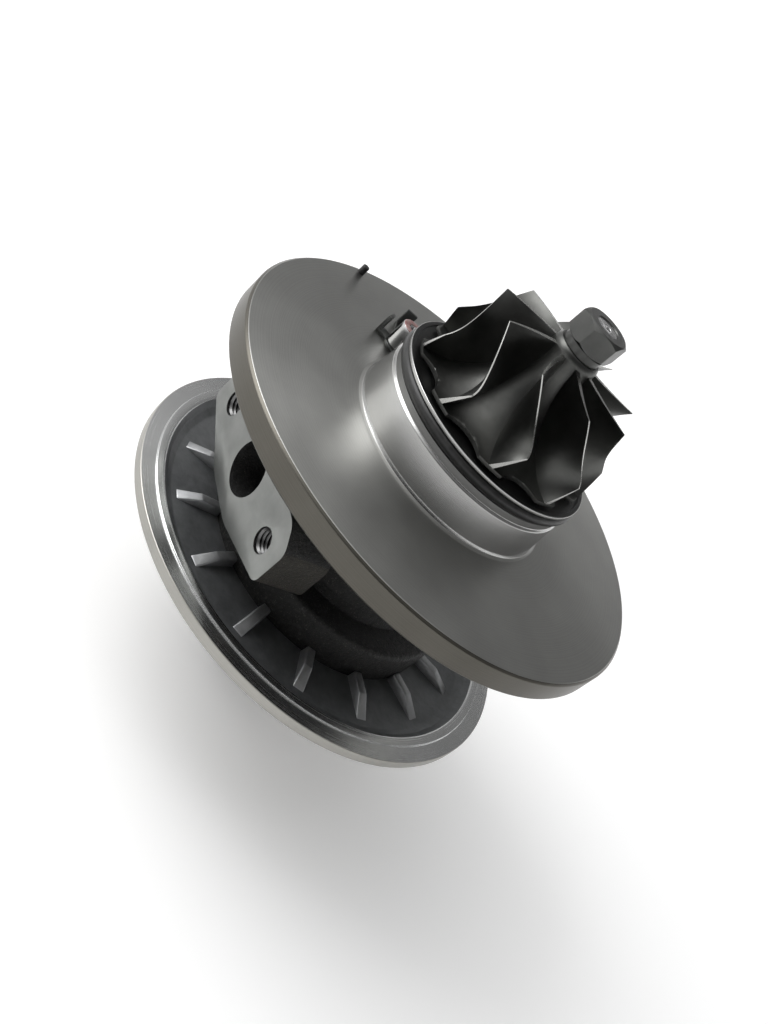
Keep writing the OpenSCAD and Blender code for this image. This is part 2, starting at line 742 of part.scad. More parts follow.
module oil_deflector() {
    color(sheet_grey) translate([0, 0, cavity_top_z - deflector_t])
        washer(flinger_r + shield_clear, cavity_r - hole_play, deflector_t);
}

module turbine_piston_ring() {
    outer = turbine_seal_r - seat_clear;
    color(dark_steel) translate([0, 0, turbine_ring_z])
        split_ring(outer - piston_ring_t, outer, piston_ring_w, piston_ring_gap);
}

module compressor_piston_ring() {
    outer = compressor_seal_r - seat_clear;
    color(dark_steel) translate([0, 0, compressor_ring_z])
        split_ring(outer - piston_ring_t, outer, piston_ring_w, piston_ring_gap);
}

module snap_rings() {
    color(dark_steel) for (z = snap_heights)
        translate([0, 0, z]) split_ring(snap_in_r, snap_out_r, snap_w, snap_slit);
}

module bush(z) {
    translate([0, 0, z]) difference() {
        washer(bush_bore_r, bush_r, bush_len);
        for (i = [0:bush_hole_count - 1])
            rotate([0, 0, 360 / bush_hole_count * i]) translate([bush_bore_r - cut, 0, bush_len / 2])
                rotate([0, 90, 0]) cylinder(r = bush_hole_r, h = bush_r - bush_bore_r + 2 * cut);
    }
}

module turbine_bush() {
    color(bronze) bush(turbine_bush_z);
}

module compressor_bush() {
    color(bronze) bush(compressor_bush_z);
}

module turbine_wheel() {
    disc_z = turbine_back_z - turbine_disc_t;
    hub = [[turbine_hub_r, turbine_end_z], [gas_inlet_r, disc_z]];
    tip = [[gas_outlet_r, turbine_end_z], [gas_inlet_r, disc_z - gas_inlet_h]];
    turn = [turbine_wrap, turbine_wrap, 0, 0];
    hub_end_z = turbine_end_z - turbine_hub_end;
    color(dark_steel) union() {
        difference() {
            rotate_extrude() polygon(concat(
                [[0, hub_end_z], [turbine_hub_r, hub_end_z]],
                hub_line(hub, 11),
                [[gas_inlet_r + disc_reach, turbine_back_z],
                    [turbine_hub_seal_r, turbine_back_z], [turbine_hub_seal_r, weld_z], [0, weld_z]]
            ));
            scallops(turbine_count, gas_inlet_r, turbine_scallop_r, turbine_scallop_depth,
                0, turbine_end_z, turbine_len * 2);
        }
        for (i = [0:turbine_count - 1])
            rotate([0, 0, 360 / turbine_count * i])
                blade(hub, tip, turn, [turbine_root_half, turbine_tip_half], 8, 3, 0.07, 0);
        translate([0, 0, hub_end_z - turbine_nose_len])
            hexagon(turbine_nose_af, turbine_nose_len + turbine_hub_end / 2);
    }
}

module rotor_shaft() {
    stub_end_z = nut_top_z - stub_sink;
    relief_start = turbine_bush_z + bush_len + snap_gap;
    relief_end = compressor_bush_z - snap_gap;
    groove_floor = turbine_seal_r - seat_clear - piston_ring_t - ring_back_clear;
    color(steel) difference() {
        rotate_extrude() polygon([
            [0, weld_z], [turbine_hub_seal_r, weld_z], [turbine_hub_seal_r, turbine_ring_z - ring_side_clear],
            [groove_floor, turbine_ring_z - ring_side_clear],
            [groove_floor, turbine_ring_z - ring_side_clear + groove_w],
            [turbine_hub_seal_r, turbine_ring_z - ring_side_clear + groove_w],
            [turbine_hub_seal_r, seal_bore_top_z - cut / 2], [journal_r, seal_bore_top_z - cut / 2],
            [journal_r, relief_start], [relief_r, relief_start + cut], [relief_r, relief_end - cut],
            [journal_r, relief_end], [journal_r, shoulder_z], [stub_r, shoulder_z],
            [stub_r, stub_end_z], [0, stub_end_z]
        ]);
        translate([0, 0, stub_end_z - 2 * centre_r]) cylinder(r = centre_r, h = 2 * centre_r + cut);
    }
}

module thrust_collar() {
    color(steel) difference() {
        union() {
            translate([0, 0, shoulder_z]) cylinder(r = thrust_disc_r, h = thrust_disc_t);
            translate([0, 0, shoulder_z]) cylinder(r = thrust_neck_r, h = flinger_z - shoulder_z);
        }
        translate([0, 0, shoulder_z - cut]) cylinder(r = stub_r + stub_clear, h = seat_z);
    }
}

module oil_flinger() {
    groove_floor = compressor_seal_r - seat_clear - piston_ring_t - ring_back_clear;
    groove_z = compressor_ring_z - ring_side_clear;
    bore = stub_r + stub_clear;
    disc_top = flinger_z + flinger_disc_t;
    color(steel) rotate_extrude() polygon([
        [bore, flinger_z], [thrust_disc_r, flinger_z], [thrust_disc_r, disc_top], [flinger_r, disc_top],
        [flinger_r, groove_z], [groove_floor, groove_z], [groove_floor, groove_z + groove_w],
        [flinger_r, groove_z + groove_w], [flinger_r, wheel_z], [bore, wheel_z]
    ]);
}

module compressor_wheel() {
    disc_z = wheel_z + outlet_disc_t;
    hub = [[hub_r, wheel_z + hub_h], [outlet_r, disc_z]];
    tip = [[inlet_tip_r, wheel_z + inlet_tip_h], [outlet_r, disc_z + outlet_h]];
    turn = [
        inlet_tip_at - root_lead, inlet_tip_at,
        inlet_tip_at + blade_wrap - outlet_lean, inlet_tip_at + blade_wrap
    ];
    color(wheel_grey) difference() {
        union() {
            difference() {
                rotate_extrude() polygon(concat(
                    [[0, nose_z], [hub_r - cut / 2, nose_z], [hub_r, nose_z - cut / 2]],
                    hub_line(hub, 13),
                    [[outlet_r + disc_reach, wheel_z], [0, wheel_z]]
                ));
                scallops(blade_count, outlet_r, scallop_r, scallop_depth,
                    inlet_tip_at + blade_wrap - outlet_lean, wheel_z - cut, nose_h);
            }
            for (i = [0:blade_count - 1])
                rotate([0, 0, 360 / blade_count * i])
                    blade(hub, tip, turn, [blade_root_half, blade_tip_half], 12, 4, 0.06, outlet_corner);
        }
        translate([0, 0, wheel_z - cut]) cylinder(r = stub_r + stub_clear, h = nose_h + 2 * cut);
    }
}

module compressor_nut() {
    corner_r = nut_af / 2 / cos(30);
    edge = corner_r - nut_af / 2 * 0.97;
    color(dark_steel) difference() {
        union() {
            translate([0, 0, nose_z]) cylinder(r = nut_neck_r, h = nut_neck_h + edge);
            intersection() {
                translate([0, 0, nut_hex_z]) hexagon(nut_af, nut_hex_h);
                rotate_extrude() polygon([
                    [0, nut_hex_z], [corner_r - edge, nut_hex_z], [corner_r, nut_hex_z + edge],
                    [corner_r, nut_top_z - edge], [corner_r - edge, nut_top_z], [0, nut_top_z]
                ]);
            }
        }
        translate([0, 0, nose_z - cut]) cylinder(r = stub_r + stub_clear, h = nut_top_z - nose_z + 2 * cut);
    }
}

bearing_housing();
turbine_flange();
heat_shield();
compressor_backplate();
boss_seal_ring();
face_seal_ring();
front_screw();
lock_plate();
rim_dowel();
backplate_bolts();
thrust_bearing();
oil_deflector();
turbine_piston_ring();
compressor_piston_ring();
snap_rings();
turbine_bush();
compressor_bush();
turbine_wheel();
rotor_shaft();
thrust_collar();
oil_flinger();
compressor_wheel();
compressor_nut();
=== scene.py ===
import json
import math

import bmesh
import bpy
from mathutils import Matrix, Vector


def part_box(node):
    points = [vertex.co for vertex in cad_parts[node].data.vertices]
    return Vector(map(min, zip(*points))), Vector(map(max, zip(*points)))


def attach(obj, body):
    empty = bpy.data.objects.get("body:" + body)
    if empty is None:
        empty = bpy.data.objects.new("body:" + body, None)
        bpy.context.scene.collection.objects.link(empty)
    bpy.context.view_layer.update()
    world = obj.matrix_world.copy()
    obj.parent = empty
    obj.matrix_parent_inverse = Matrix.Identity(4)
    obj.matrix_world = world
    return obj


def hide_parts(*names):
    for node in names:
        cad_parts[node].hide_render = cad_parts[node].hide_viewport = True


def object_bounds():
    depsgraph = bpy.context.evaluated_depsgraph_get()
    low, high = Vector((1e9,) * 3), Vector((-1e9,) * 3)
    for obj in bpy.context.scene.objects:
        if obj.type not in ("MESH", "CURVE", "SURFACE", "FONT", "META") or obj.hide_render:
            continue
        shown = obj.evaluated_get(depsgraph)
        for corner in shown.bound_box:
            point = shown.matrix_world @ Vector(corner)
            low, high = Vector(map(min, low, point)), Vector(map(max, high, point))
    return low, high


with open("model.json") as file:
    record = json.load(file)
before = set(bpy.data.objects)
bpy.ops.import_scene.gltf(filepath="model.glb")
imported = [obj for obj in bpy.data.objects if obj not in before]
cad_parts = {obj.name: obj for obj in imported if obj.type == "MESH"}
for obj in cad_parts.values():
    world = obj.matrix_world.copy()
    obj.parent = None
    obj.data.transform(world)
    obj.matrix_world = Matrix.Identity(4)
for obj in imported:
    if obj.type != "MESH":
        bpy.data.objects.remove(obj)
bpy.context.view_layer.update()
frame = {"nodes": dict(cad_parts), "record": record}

MM = 0.001
SEGMENTS = 240

# Heights along the shaft, radii and distances in millimetres, read from the frame where a node shows them
SEAT_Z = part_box("compressor_backplate")[0].z / MM
BOSS_TOP_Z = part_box("compressor_backplate")[1].z / MM
RIM_TOP_Z = 4.0
SPIGOT_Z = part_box("turbine_flange")[0].z / MM
WHEEL_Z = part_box("compressor_wheel")[0].z / MM
NOSE_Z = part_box("compressor_wheel")[1].z / MM
NUT_TOP_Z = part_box("compressor_nut")[1].z / MM
TURBINE_BACK_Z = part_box("heat_shield")[0].z / MM - 1.0
DISC_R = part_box("compressor_backplate")[1].x / MM
FLANGE_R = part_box("turbine_flange")[1].x / MM
DISC_T = 6.3
DISC_TOP_Z = SEAT_Z + DISC_T
PAD_DIST = 37.9
PAD_Z = 19.6
DISH_FLOOR_Z = RIM_TOP_Z - 2.6


# Node material helpers

def new_material(name, **constants):
    """An empty node material with a principled shader. Constants are set on the shader's own sockets."""
    material = bpy.data.materials.new(name)
    material.use_nodes = True
    shader = material.node_tree.nodes["Principled BSDF"]
    for socket, value in constants.items():
        shader.inputs[socket.replace("_", " ")].default_value = value
    return material, material.node_tree, shader


def add(tree, kind, **settings):
    node = tree.nodes.new(kind)
    for key, value in settings.items():
        if hasattr(node, key):
            setattr(node, key, value)
        else:
            node.inputs[key.replace("_", " ")].default_value = value
    return node


def link(tree, source, target):
    tree.links.new(source, target)


def object_coordinates(tree):
    return add(tree, "ShaderNodeTexCoord").outputs["Object"]


def noise(tree, coordinates, scale, detail=4.0, rough=0.55):
    node = add(tree, "ShaderNodeTexNoise", Scale=scale, Detail=detail, Roughness=rough)
    link(tree, coordinates, node.inputs["Vector"])
    return node.outputs["Fac"]


def ramp(tree, value, stops):
    node = add(tree, "ShaderNodeValToRGB")
    elements = node.color_ramp.elements
    while len(elements) < len(stops):
        elements.new(0.5)
    for element, (place, color) in zip(elements, stops):
        element.position = place
        element.color = (*color, 1.0) if hasattr(color, "__len__") else (color, color, color, 1.0)
    link(tree, value, node.inputs["Fac"])
    return node.outputs["Color"]


def spread(tree, value, low, high, start=0.0, end=1.0):
    """A value between start and end, spread over the range from low to high."""
    node = add(tree, "ShaderNodeMapRange")
    for socket, number in (("From Min", start), ("From Max", end), ("To Min", low), ("To Max", high)):
        node.inputs[socket].default_value = number
    link(tree, value, node.inputs["Value"])
    return node.outputs["Result"]


def math_node(tree, operation, first, second):
    node = add(tree, "ShaderNodeMath", operation=operation)
    for socket, value in zip(node.inputs, (first, second)):
        if isinstance(value, (int, float)):
            socket.default_value = value
        else:
            link(tree, value, socket)
    return node.outputs["Value"]


def bump(tree, height, strength, distance, normal=None):
    node = add(tree, "ShaderNodeBump", Strength=strength, Distance=distance)
    link(tree, height, node.inputs["Height"])
    if normal is not None:
        link(tree, normal, node.inputs["Normal"])
    return node.outputs["Normal"]


def lathe_lines(tree, lines_per_mm):
    """Fine rings left by a lathe tool. The second coordinate of the UV map runs along the profile in mm."""
    uv = add(tree, "ShaderNodeUVMap", uv_map="turned")
    apart = add(tree, "ShaderNodeSeparateXYZ")
    link(tree, uv.outputs["UV"], apart.inputs["Vector"])
    node = add(tree, "ShaderNodeTexNoise", noise_dimensions="1D", Scale=lines_per_mm, Detail=3.0)
    link(tree, apart.outputs["Y"], node.inputs["W"])
    return node.outputs["Fac"]


def turned_metal(name, dark, light, rough, lines_per_mm=7.0, depth=0.35, streak=0.5):
    """Turned steel: rings in colour, gloss and height, with a faint cloud of handling marks."""
    material, tree, shader = new_material(name, Metallic=1.0, Anisotropic=streak, Anisotropic_Rotation=0.25)
    coordinates = object_coordinates(tree)
    rings = lathe_lines(tree, lines_per_mm)
    cloud = noise(tree, coordinates, 60.0, 5.0)
    mixed = math_node(tree, "MULTIPLY", math_node(tree, "ADD", cloud, rings), 0.5)
    link(tree, ramp(tree, mixed, [(0.25, dark), (0.75, light)]), shader.inputs["Base Color"])
    link(tree, spread(tree, mixed, rough - 0.08, rough + 0.1), shader.inputs["Roughness"])
    link(tree, bump(tree, rings, depth, 0.00003), shader.inputs["Normal"])
    tangent = add(tree, "ShaderNodeTangent", direction_type="UV_MAP", uv_map="turned")
    link(tree, tangent.outputs["Tangent"], shader.inputs["Tangent"])
    return material


def cast_metal(name, dark, light, metallic, rough, grain, depth, speck=None):
    """Cast metal: a grainy skin with a slow change of tone, and bright specks where wanted."""
    material, tree, shader = new_material(name, Metallic=metallic)
    coordinates = object_coordinates(tree)
    skin = noise(tree, coordinates, grain, 6.0, 0.65)
    tone = noise(tree, coordinates, grain / 12.0, 3.0)
    fine_share = math_node(tree, "MULTIPLY", skin, 0.6)
    mixed = math_node(tree, "ADD", fine_share, math_node(tree, "MULTIPLY", tone, 0.4))
    color = ramp(tree, mixed, [(0.3, dark), (0.7, light)])
    if speck:
        spots = ramp(tree, noise(tree, coordinates, grain * 3.0, 2.0), [(0.62, 0.0), (0.70, 1.0)])
        blend = add(tree, "ShaderNodeMix", data_type="RGBA")
        link(tree, spots, blend.inputs["Factor"])
        link(tree, color, blend.inputs[6])
        blend.inputs[7].default_value = (*speck, 1.0)
        color = blend.outputs[2]
    link(tree, color, shader.inputs["Base Color"])
    link(tree, spread(tree, skin, rough - 0.12, rough + 0.14), shader.inputs["Roughness"])
    link(tree, bump(tree, skin, depth, 0.0006), shader.inputs["Normal"])
    return material


def satin_metal(name, dark, light, rough, grain=900.0, depth=0.15):
    """Machined or ground metal with a fine even grain."""
    material, tree, shader = new_material(name, Metallic=1.0)
    coordinates = object_coordinates(tree)
    fine = noise(tree, coordinates, grain, 4.0)
    cloud = noise(tree, coordinates, 90.0, 4.0)
    link(tree, ramp(tree, cloud, [(0.3, dark), (0.7, light)]), shader.inputs["Base Color"])
    link(tree, spread(tree, fine, rough - 0.07, rough + 0.09), shader.inputs["Roughness"])
    link(tree, bump(tree, fine, depth, 0.00004), shader.inputs["Normal"])
    return material


def black_rubber():
    material, tree, shader = new_material("seal_rubber", Specular_IOR_Level=0.45)
    coordinates = object_coordinates(tree)
    grain = noise(tree, coordinates, 700.0, 5.0)
    link(tree, ramp(tree, grain, [(0.3, 0.006), (0.75, 0.022)]), shader.inputs["Base Color"])
    link(tree, spread(tree, grain, 0.32, 0.55), shader.inputs["Roughness"])
    link(tree, bump(tree, grain, 0.12, 0.0001), shader.inputs["Normal"])
    return material


def reddish_screw_top():
    """The screw top: steel with patches of reddish colour."""
    material, tree, shader = new_material("screw_top_reddish", Metallic=0.3, Roughness=0.45)
    coordinates = object_coordinates(tree)
    wear = noise(tree, coordinates, 900.0, 5.0)
    tones = [(0.35, (0.20, 0.085, 0.08)), (0.55, (0.27, 0.17, 0.16)), (0.72, (0.24, 0.22, 0.21))]
    link(tree, ramp(tree, wear, tones), shader.inputs["Base Color"])
    link(tree, bump(tree, wear, 0.2, 0.0001), shader.inputs["Normal"])
    return material


MATERIALS = {
    "disc": turned_metal("backplate_steel", (0.27, 0.27, 0.26), (0.40, 0.40, 0.385), 0.36, 5.0, 0.25, 0.6),
    "boss": turned_metal("boss_steel", (0.32, 0.32, 0.315), (0.47, 0.47, 0.46), 0.2, 9.0, 0.25, 0.6),
    # The boss neck below the seal groove is a darker copy of the boss steel: a painted dark reflection.
    "boss_neck": turned_metal("boss_neck_painted_dark_reflection", (0.13, 0.13, 0.127), (0.21, 0.21, 0.205),
                              0.34, 9.0, 0.3, 0.4),
    # The boss face inside the lip is near black: painted shade of the gap under the wheel.
    "boss_face": turned_metal("boss_face_painted_shade", (0.012, 0.012, 0.012), (0.03, 0.03, 0.03),
                              0.42, 9.0, 0.3, 0.3),
    # The disc's outer side is a much darker, warm-tinted copy of the disc steel: painted shade with a warm
    # tint.
    "rim": turned_metal("disc_rim_painted_shade", (0.080, 0.075, 0.065), (0.130, 0.124, 0.108),
                        0.38, 6.0, 0.3, 0.3),
    "bright": turned_metal("flange_rim_steel", (0.50, 0.505, 0.505), (0.72, 0.725, 0.72),
                           0.24, 9.0, 0.3, 0.45),
    "flange": cast_metal("flange_cast", (0.13, 0.136, 0.14), (0.24, 0.247, 0.253), 0.75, 0.44, 420.0, 0.22),
    # The ribs take a lighter copy of the flange casting: painted highlight on the rib tops and sides.
    "rib": cast_metal("flange_rib_cast_painted_highlight", (0.30, 0.306, 0.312), (0.47, 0.476, 0.482), 0.8, 0.36, 420.0, 0.2),
    "flange_side": turned_metal("flange_side_steel", (0.30, 0.295, 0.275), (0.44, 0.43, 0.40),
                                0.40, 5.0, 0.35, 0.3),
    "housing": cast_metal("housing_iron", (0.002, 0.002, 0.002), (0.010, 0.010, 0.009), 0.0, 0.55,
                          900.0, 1.0, (0.07, 0.065, 0.055)),
    "pad": satin_metal("pad_machined", (0.17, 0.175, 0.168), (0.25, 0.255, 0.245), 0.42, 700.0, 0.2),
    "pad_end": cast_metal("pad_end_cast", (0.008, 0.007, 0.005), (0.040, 0.036, 0.028), 0.2, 0.6,
                          1100.0, 1.0, (0.10, 0.09, 0.07)),
    "wheel": satin_metal("wheel_aluminium", (0.07, 0.071, 0.068), (0.12, 0.121, 0.115), 0.36, 600.0, 0.12),
    # The blade rims take a bright copy of the wheel aluminium: a painted highlight on the edges.
    "wheel_edge": satin_metal("wheel_edge_painted_highlight", (0.34, 0.34, 0.33), (0.52, 0.52, 0.50), 0.25),
    "nut": satin_metal("nut_steel", (0.06, 0.061, 0.059), (0.105, 0.106, 0.102), 0.34),
    "fastener": satin_metal("fastener_steel", (0.10, 0.10, 0.10), (0.18, 0.18, 0.18), 0.30),
    "lock": satin_metal("lock_plate_steel", (0.05, 0.052, 0.050), (0.12, 0.122, 0.118), 0.34),
    "screw": satin_metal("screw_bright", (0.34, 0.34, 0.34), (0.52, 0.52, 0.52), 0.14),
    "dark_pin": satin_metal("dowel_steel", (0.03, 0.03, 0.032), (0.07, 0.07, 0.07), 0.35),
    "shaft": satin_metal("shaft_steel", (0.48, 0.48, 0.48), (0.66, 0.66, 0.66), 0.25),
    "sheet": satin_metal("shield_sheet", (0.42, 0.41, 0.39), (0.60, 0.585, 0.56), 0.36, 300.0, 0.25),
    "turbine": cast_metal("turbine_alloy", (0.20, 0.19, 0.18), (0.34, 0.325, 0.31), 1.0, 0.42, 500.0, 0.18),
    "bronze": satin_metal("bearing_bronze", (0.46, 0.29, 0.12), (0.62, 0.42, 0.20), 0.30),
    "rubber": black_rubber(),
    "paint": reddish_screw_top(),
}
NODE_FINISH = {
    "bearing_housing": "housing", "turbine_flange": "flange", "heat_shield": "sheet",
    "compressor_backplate": "disc", "boss_seal_ring": "rubber", "face_seal_ring": "rubber",
    "front_screw": "screw", "lock_plate": "lock", "rim_dowel": "dark_pin",
    "backplate_bolts": "fastener", "thrust_bearing": "bronze", "oil_deflector": "sheet",
    "turbine_piston_ring": "fastener", "compressor_piston_ring": "fastener", "snap_rings": "fastener",
    "turbine_bush": "bronze", "compressor_bush": "bronze", "turbine_wheel": "turbine",
    "rotor_shaft": "shaft", "thrust_collar": "shaft", "oil_flinger": "shaft",
    "compressor_wheel": "wheel", "compressor_nut": "nut",
}
SLOT_OF = {row["node"]: row["material_slot"] for row in frame["record"]["subparts"]}
for node_name, finish in NODE_FINISH.items():
    mesh = frame["nodes"][node_name].data
    mesh.materials.clear()
    mesh.materials.append(MATERIALS[finish])


# Mesh helpers. Profiles are lists of (radius, height) in millimetres.

def rounded(profile, radius, closed=True, steps=3):
    """A profile with its corners turned into small arcs, so that edges catch the light."""
    points = [Vector(p) for p in profile]
    count = len(points)
    result = []
    for i, corner in enumerate(points):
        before, after = points[i - 1], points[(i + 1) % count]
        ends = not closed and i in (0, count - 1)
        to_before, to_after = before - corner, after - corner
        reach = min(radius, to_before.length * 0.45, to_after.length * 0.45)
        straight = abs(to_before.normalized().dot(to_after.normalized())) > 0.985
        if ends or straight or corner.x < 1e-6 or reach < 0.01:
            result.append(tuple(corner))
            continue
        start = corner + to_before.normalized() * reach
        end = corner + to_after.normalized() * reach
        for k in range(steps + 1):
            s = k / steps
            result.append(tuple((1 - s) ** 2 * start + 2 * s * (1 - s) * corner + s * s * end))
    return result


def arc(center, radius, start, end, steps):
    """Points on an arc, angles in degrees."""
    turns = [math.radians(start + (end - start) * k / steps) for k in range(steps + 1)]
    return [(center[0] + radius * math.cos(a), center[1] + radius * math.sin(a)) for a in turns]


def revolve(bm, profile, finish_of=None, segments=SEGMENTS, closed=True):
    """Turns a profile round Z. The UV map has the turn in u and millimetres along the profile in v."""
    uv = bm.loops.layers.uv.get("turned") or bm.loops.layers.uv.new("turned")
    columns = []
    for j in range(segments):
        a = 2 * math.pi * j / segments
        columns.append([
            bm.verts.new((r * math.cos(a) * MM, r * math.sin(a) * MM, z * MM)) for r, z in profile
        ])
    lengths = [0.0]
    for first, second in zip(profile, profile[1:] + profile[:1]):
        lengths.append(lengths[-1] + math.dist(first, second))
    for j in range(segments):
        left, right = columns[j], columns[(j + 1) % segments]
        for i in range(len(profile) - (0 if closed else 1)):
            k = (i + 1) % len(profile)
            if profile[i][0] < 1e-6 and profile[k][0] < 1e-6:
                continue
            face = bm.faces.new((left[i], right[i], right[k], left[k]))
            turns = (j / segments, (j + 1) / segments, (j + 1) / segments, j / segments)
            along = (lengths[i], lengths[i], lengths[i + 1], lengths[i + 1])
            for loop, u, v in zip(face.loops, turns, along):
                loop[uv].uv = (u, v)
            if finish_of:
                r, z = ((first + second) / 2 for first, second in zip(profile[i], profile[k]))
                face.material_index = finish_of(r, z)
    bmesh.ops.remove_doubles(bm, verts=bm.verts, dist=1e-7)


def smooth(mesh, sharp):
    """Smooth shading, with edges past an angle in degrees left sharp."""
    mesh.shade_smooth()
    mesh.set_sharp_from_angle(angle=math.radians(sharp))


def finish_mesh(bm, name, finishes, sharp=32.0):
    bmesh.ops.recalc_face_normals(bm, faces=bm.faces)
    mesh = bpy.data.meshes.new(name)
    bm.to_mesh(mesh)
    bm.free()
    for finish in finishes:
        mesh.materials.append(MATERIALS[finish])
    smooth(mesh, sharp)
    piece = bpy.data.objects.new(name, mesh)
    bpy.context.scene.collection.objects.link(piece)
    return piece


def mount_piece(piece, body, *nodes, slot=None):
    """The piece rides on a body and stands for CAD nodes. The slot is not used."""
    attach(piece, body)
    if nodes:
        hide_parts(*nodes)
    return piece


def revolved_piece(name, profile, finishes, body, nodes, round_by=0.2, finish_of=None, segments=SEGMENTS):
    bm = bmesh.new()
    revolve(bm, rounded(profile, round_by), finish_of, segments)
    return mount_piece(finish_mesh(bm, name, finishes), body, *nodes)


def turned_form(name, profile, finish, segments):
    """A plain turned solid, to build on or to cut with."""
    bm = bmesh.new()
    revolve(bm, profile, segments=segments)
    return finish_mesh(bm, name, (finish,))


def close_prism(bm, rows):
    """Faces between two rows of points and over both ends."""
    bm.faces.new(rows[0])
    bm.faces.new(rows[1][::-1])
    for i in range(len(rows[0])):
        k = (i + 1) % len(rows[0])
        bm.faces.new((rows[0][i], rows[0][k], rows[1][k], rows[1][i]))


def apply_modifiers(piece):
    """Turns the evaluated piece into a plain mesh."""
    evaluated = piece.evaluated_get(bpy.context.evaluated_depsgraph_get())
    mesh = bpy.data.meshes.new_from_object(evaluated)
    mesh.name = piece.name
    piece.modifiers.clear()
    piece.data = mesh
    return piece


def soften_edges(piece, width, angle):
    """Small round bevels, width in millimetres, on edges past an angle in degrees."""
    bevel = piece.modifiers.new("edges", "BEVEL")
    bevel.width = width * MM
    bevel.segments = 3
    bevel.limit_method = "ANGLE"
    bevel.angle_limit = math.radians(angle)
    apply_modifiers(piece)


# Geometry nodes: copies of the input geometry on a ring round Z

def ring_tree():
    tree = bpy.data.node_groups.new("ring_of_copies", "GeometryNodeTree")
    face = tree.interface
    face.new_socket("Geometry", in_out="OUTPUT", socket_type="NodeSocketGeometry")
    face.new_socket("Geometry", in_out="INPUT", socket_type="NodeSocketGeometry")
    face.new_socket("Count", in_out="INPUT", socket_type="NodeSocketInt")
    face.new_socket("First Angle", in_out="INPUT", socket_type="NodeSocketFloat")
    face.new_socket("Face Material", in_out="INPUT", socket_type="NodeSocketMaterial")
    face.new_socket("Edge Material", in_out="INPUT", socket_type="NodeSocketMaterial")
    start = tree.nodes.new("NodeGroupInput")
    points = tree.nodes.new("GeometryNodePoints")
    index = tree.nodes.new("GeometryNodeInputIndex")
    step = tree.nodes.new("ShaderNodeMath")
    step.operation = "DIVIDE"
    step.inputs[0].default_value = 2 * math.pi
    turn = tree.nodes.new("ShaderNodeMath")
    turn.operation = "MULTIPLY_ADD"
    pose = tree.nodes.new("ShaderNodeCombineXYZ")
    copies = tree.nodes.new("GeometryNodeInstanceOnPoints")
    real = tree.nodes.new("GeometryNodeRealizeInstances")
    edge = tree.nodes.new("GeometryNodeInputNamedAttribute")
    edge.data_type = "BOOLEAN"
    edge.inputs["Name"].default_value = "edge_face"
    paint = tree.nodes.new("GeometryNodeSetMaterial")
    paint_edge = tree.nodes.new("GeometryNodeSetMaterial")
    end = tree.nodes.new("NodeGroupOutput")
    for source, target in (
        (start.outputs["Count"], points.inputs["Count"]),
        (start.outputs["Count"], step.inputs[1]),
        (index.outputs[0], turn.inputs[0]),
        (step.outputs[0], turn.inputs[1]),
        (start.outputs["First Angle"], turn.inputs[2]),
        (turn.outputs[0], pose.inputs["Z"]),
        (points.outputs[0], copies.inputs["Points"]),
        (start.outputs["Geometry"], copies.inputs["Instance"]),
        (pose.outputs[0], copies.inputs["Rotation"]),
        (copies.outputs[0], real.inputs[0]),
        (real.outputs[0], paint.inputs["Geometry"]),
        (start.outputs["Face Material"], paint.inputs["Material"]),
        (paint.outputs[0], paint_edge.inputs["Geometry"]),
        (edge.outputs["Attribute"], paint_edge.inputs["Selection"]),
        (start.outputs["Edge Material"], paint_edge.inputs["Material"]),
        (paint_edge.outputs[0], end.inputs["Geometry"]),
    ):
        tree.links.new(source, target)
    return tree


RING_TREE = ring_tree()


def ring_of(piece, count, first_angle, face_finish, edge_finish):
    modifier = piece.modifiers.new("ring", "NODES")
    modifier.node_group = RING_TREE
    values = {
        "Count": count, "First Angle": math.radians(first_angle),
        "Face Material": MATERIALS[face_finish], "Edge Material": MATERIALS[edge_finish],
    }
    for socket in RING_TREE.interface.items_tree:
        if socket.in_out == "INPUT" and socket.name in values:
            modifier[socket.identifier] = values[socket.name]
    return apply_modifiers(piece)


# Backplate, flange, seals and shield

BOSS_R, BOSS_STEP_R, BOSS_NECK_R, LIP_R = 26.5, 25.9, 25.4, 26.1
BOSS_STEP_Z = DISC_TOP_Z + 8.9
RING_R, RING_SECTION = 25.0, 1.45
GROOVE_TOP_Z = BOSS_TOP_Z - 0.8
GROOVE_Z = GROOVE_TOP_Z - 2.96
GROOVE_R = RING_R - RING_SECTION - 0.03
LIP_W, BOSS_RECESS, DISC_EDGE = 1.1, 0.3, 0.6
OIL_ROOM_R, OIL_ROOM_DEPTH, PLATE_BORE_R = 19.4, 4.7, 8.1


def backplate_finish(r, z):
    # Index 2, the disc's outer side, takes the darker rim finish: painted shade.
    if r > DISC_R - 0.3:
        return 2
    # Index 3, inside the lip, is the near-black face finish: painted shade.
    if z > GROOVE_Z - 0.2 and r < LIP_R - 0.2:
        return 3
    # Index 4, the neck, takes the darker boss copy: a painted dark reflection.
    if z > BOSS_STEP_Z + 0.6 and r < LIP_R - 0.2:
        return 4
    return 1 if z > DISC_TOP_Z + 0.4 and r < BOSS_R + 1 else 0


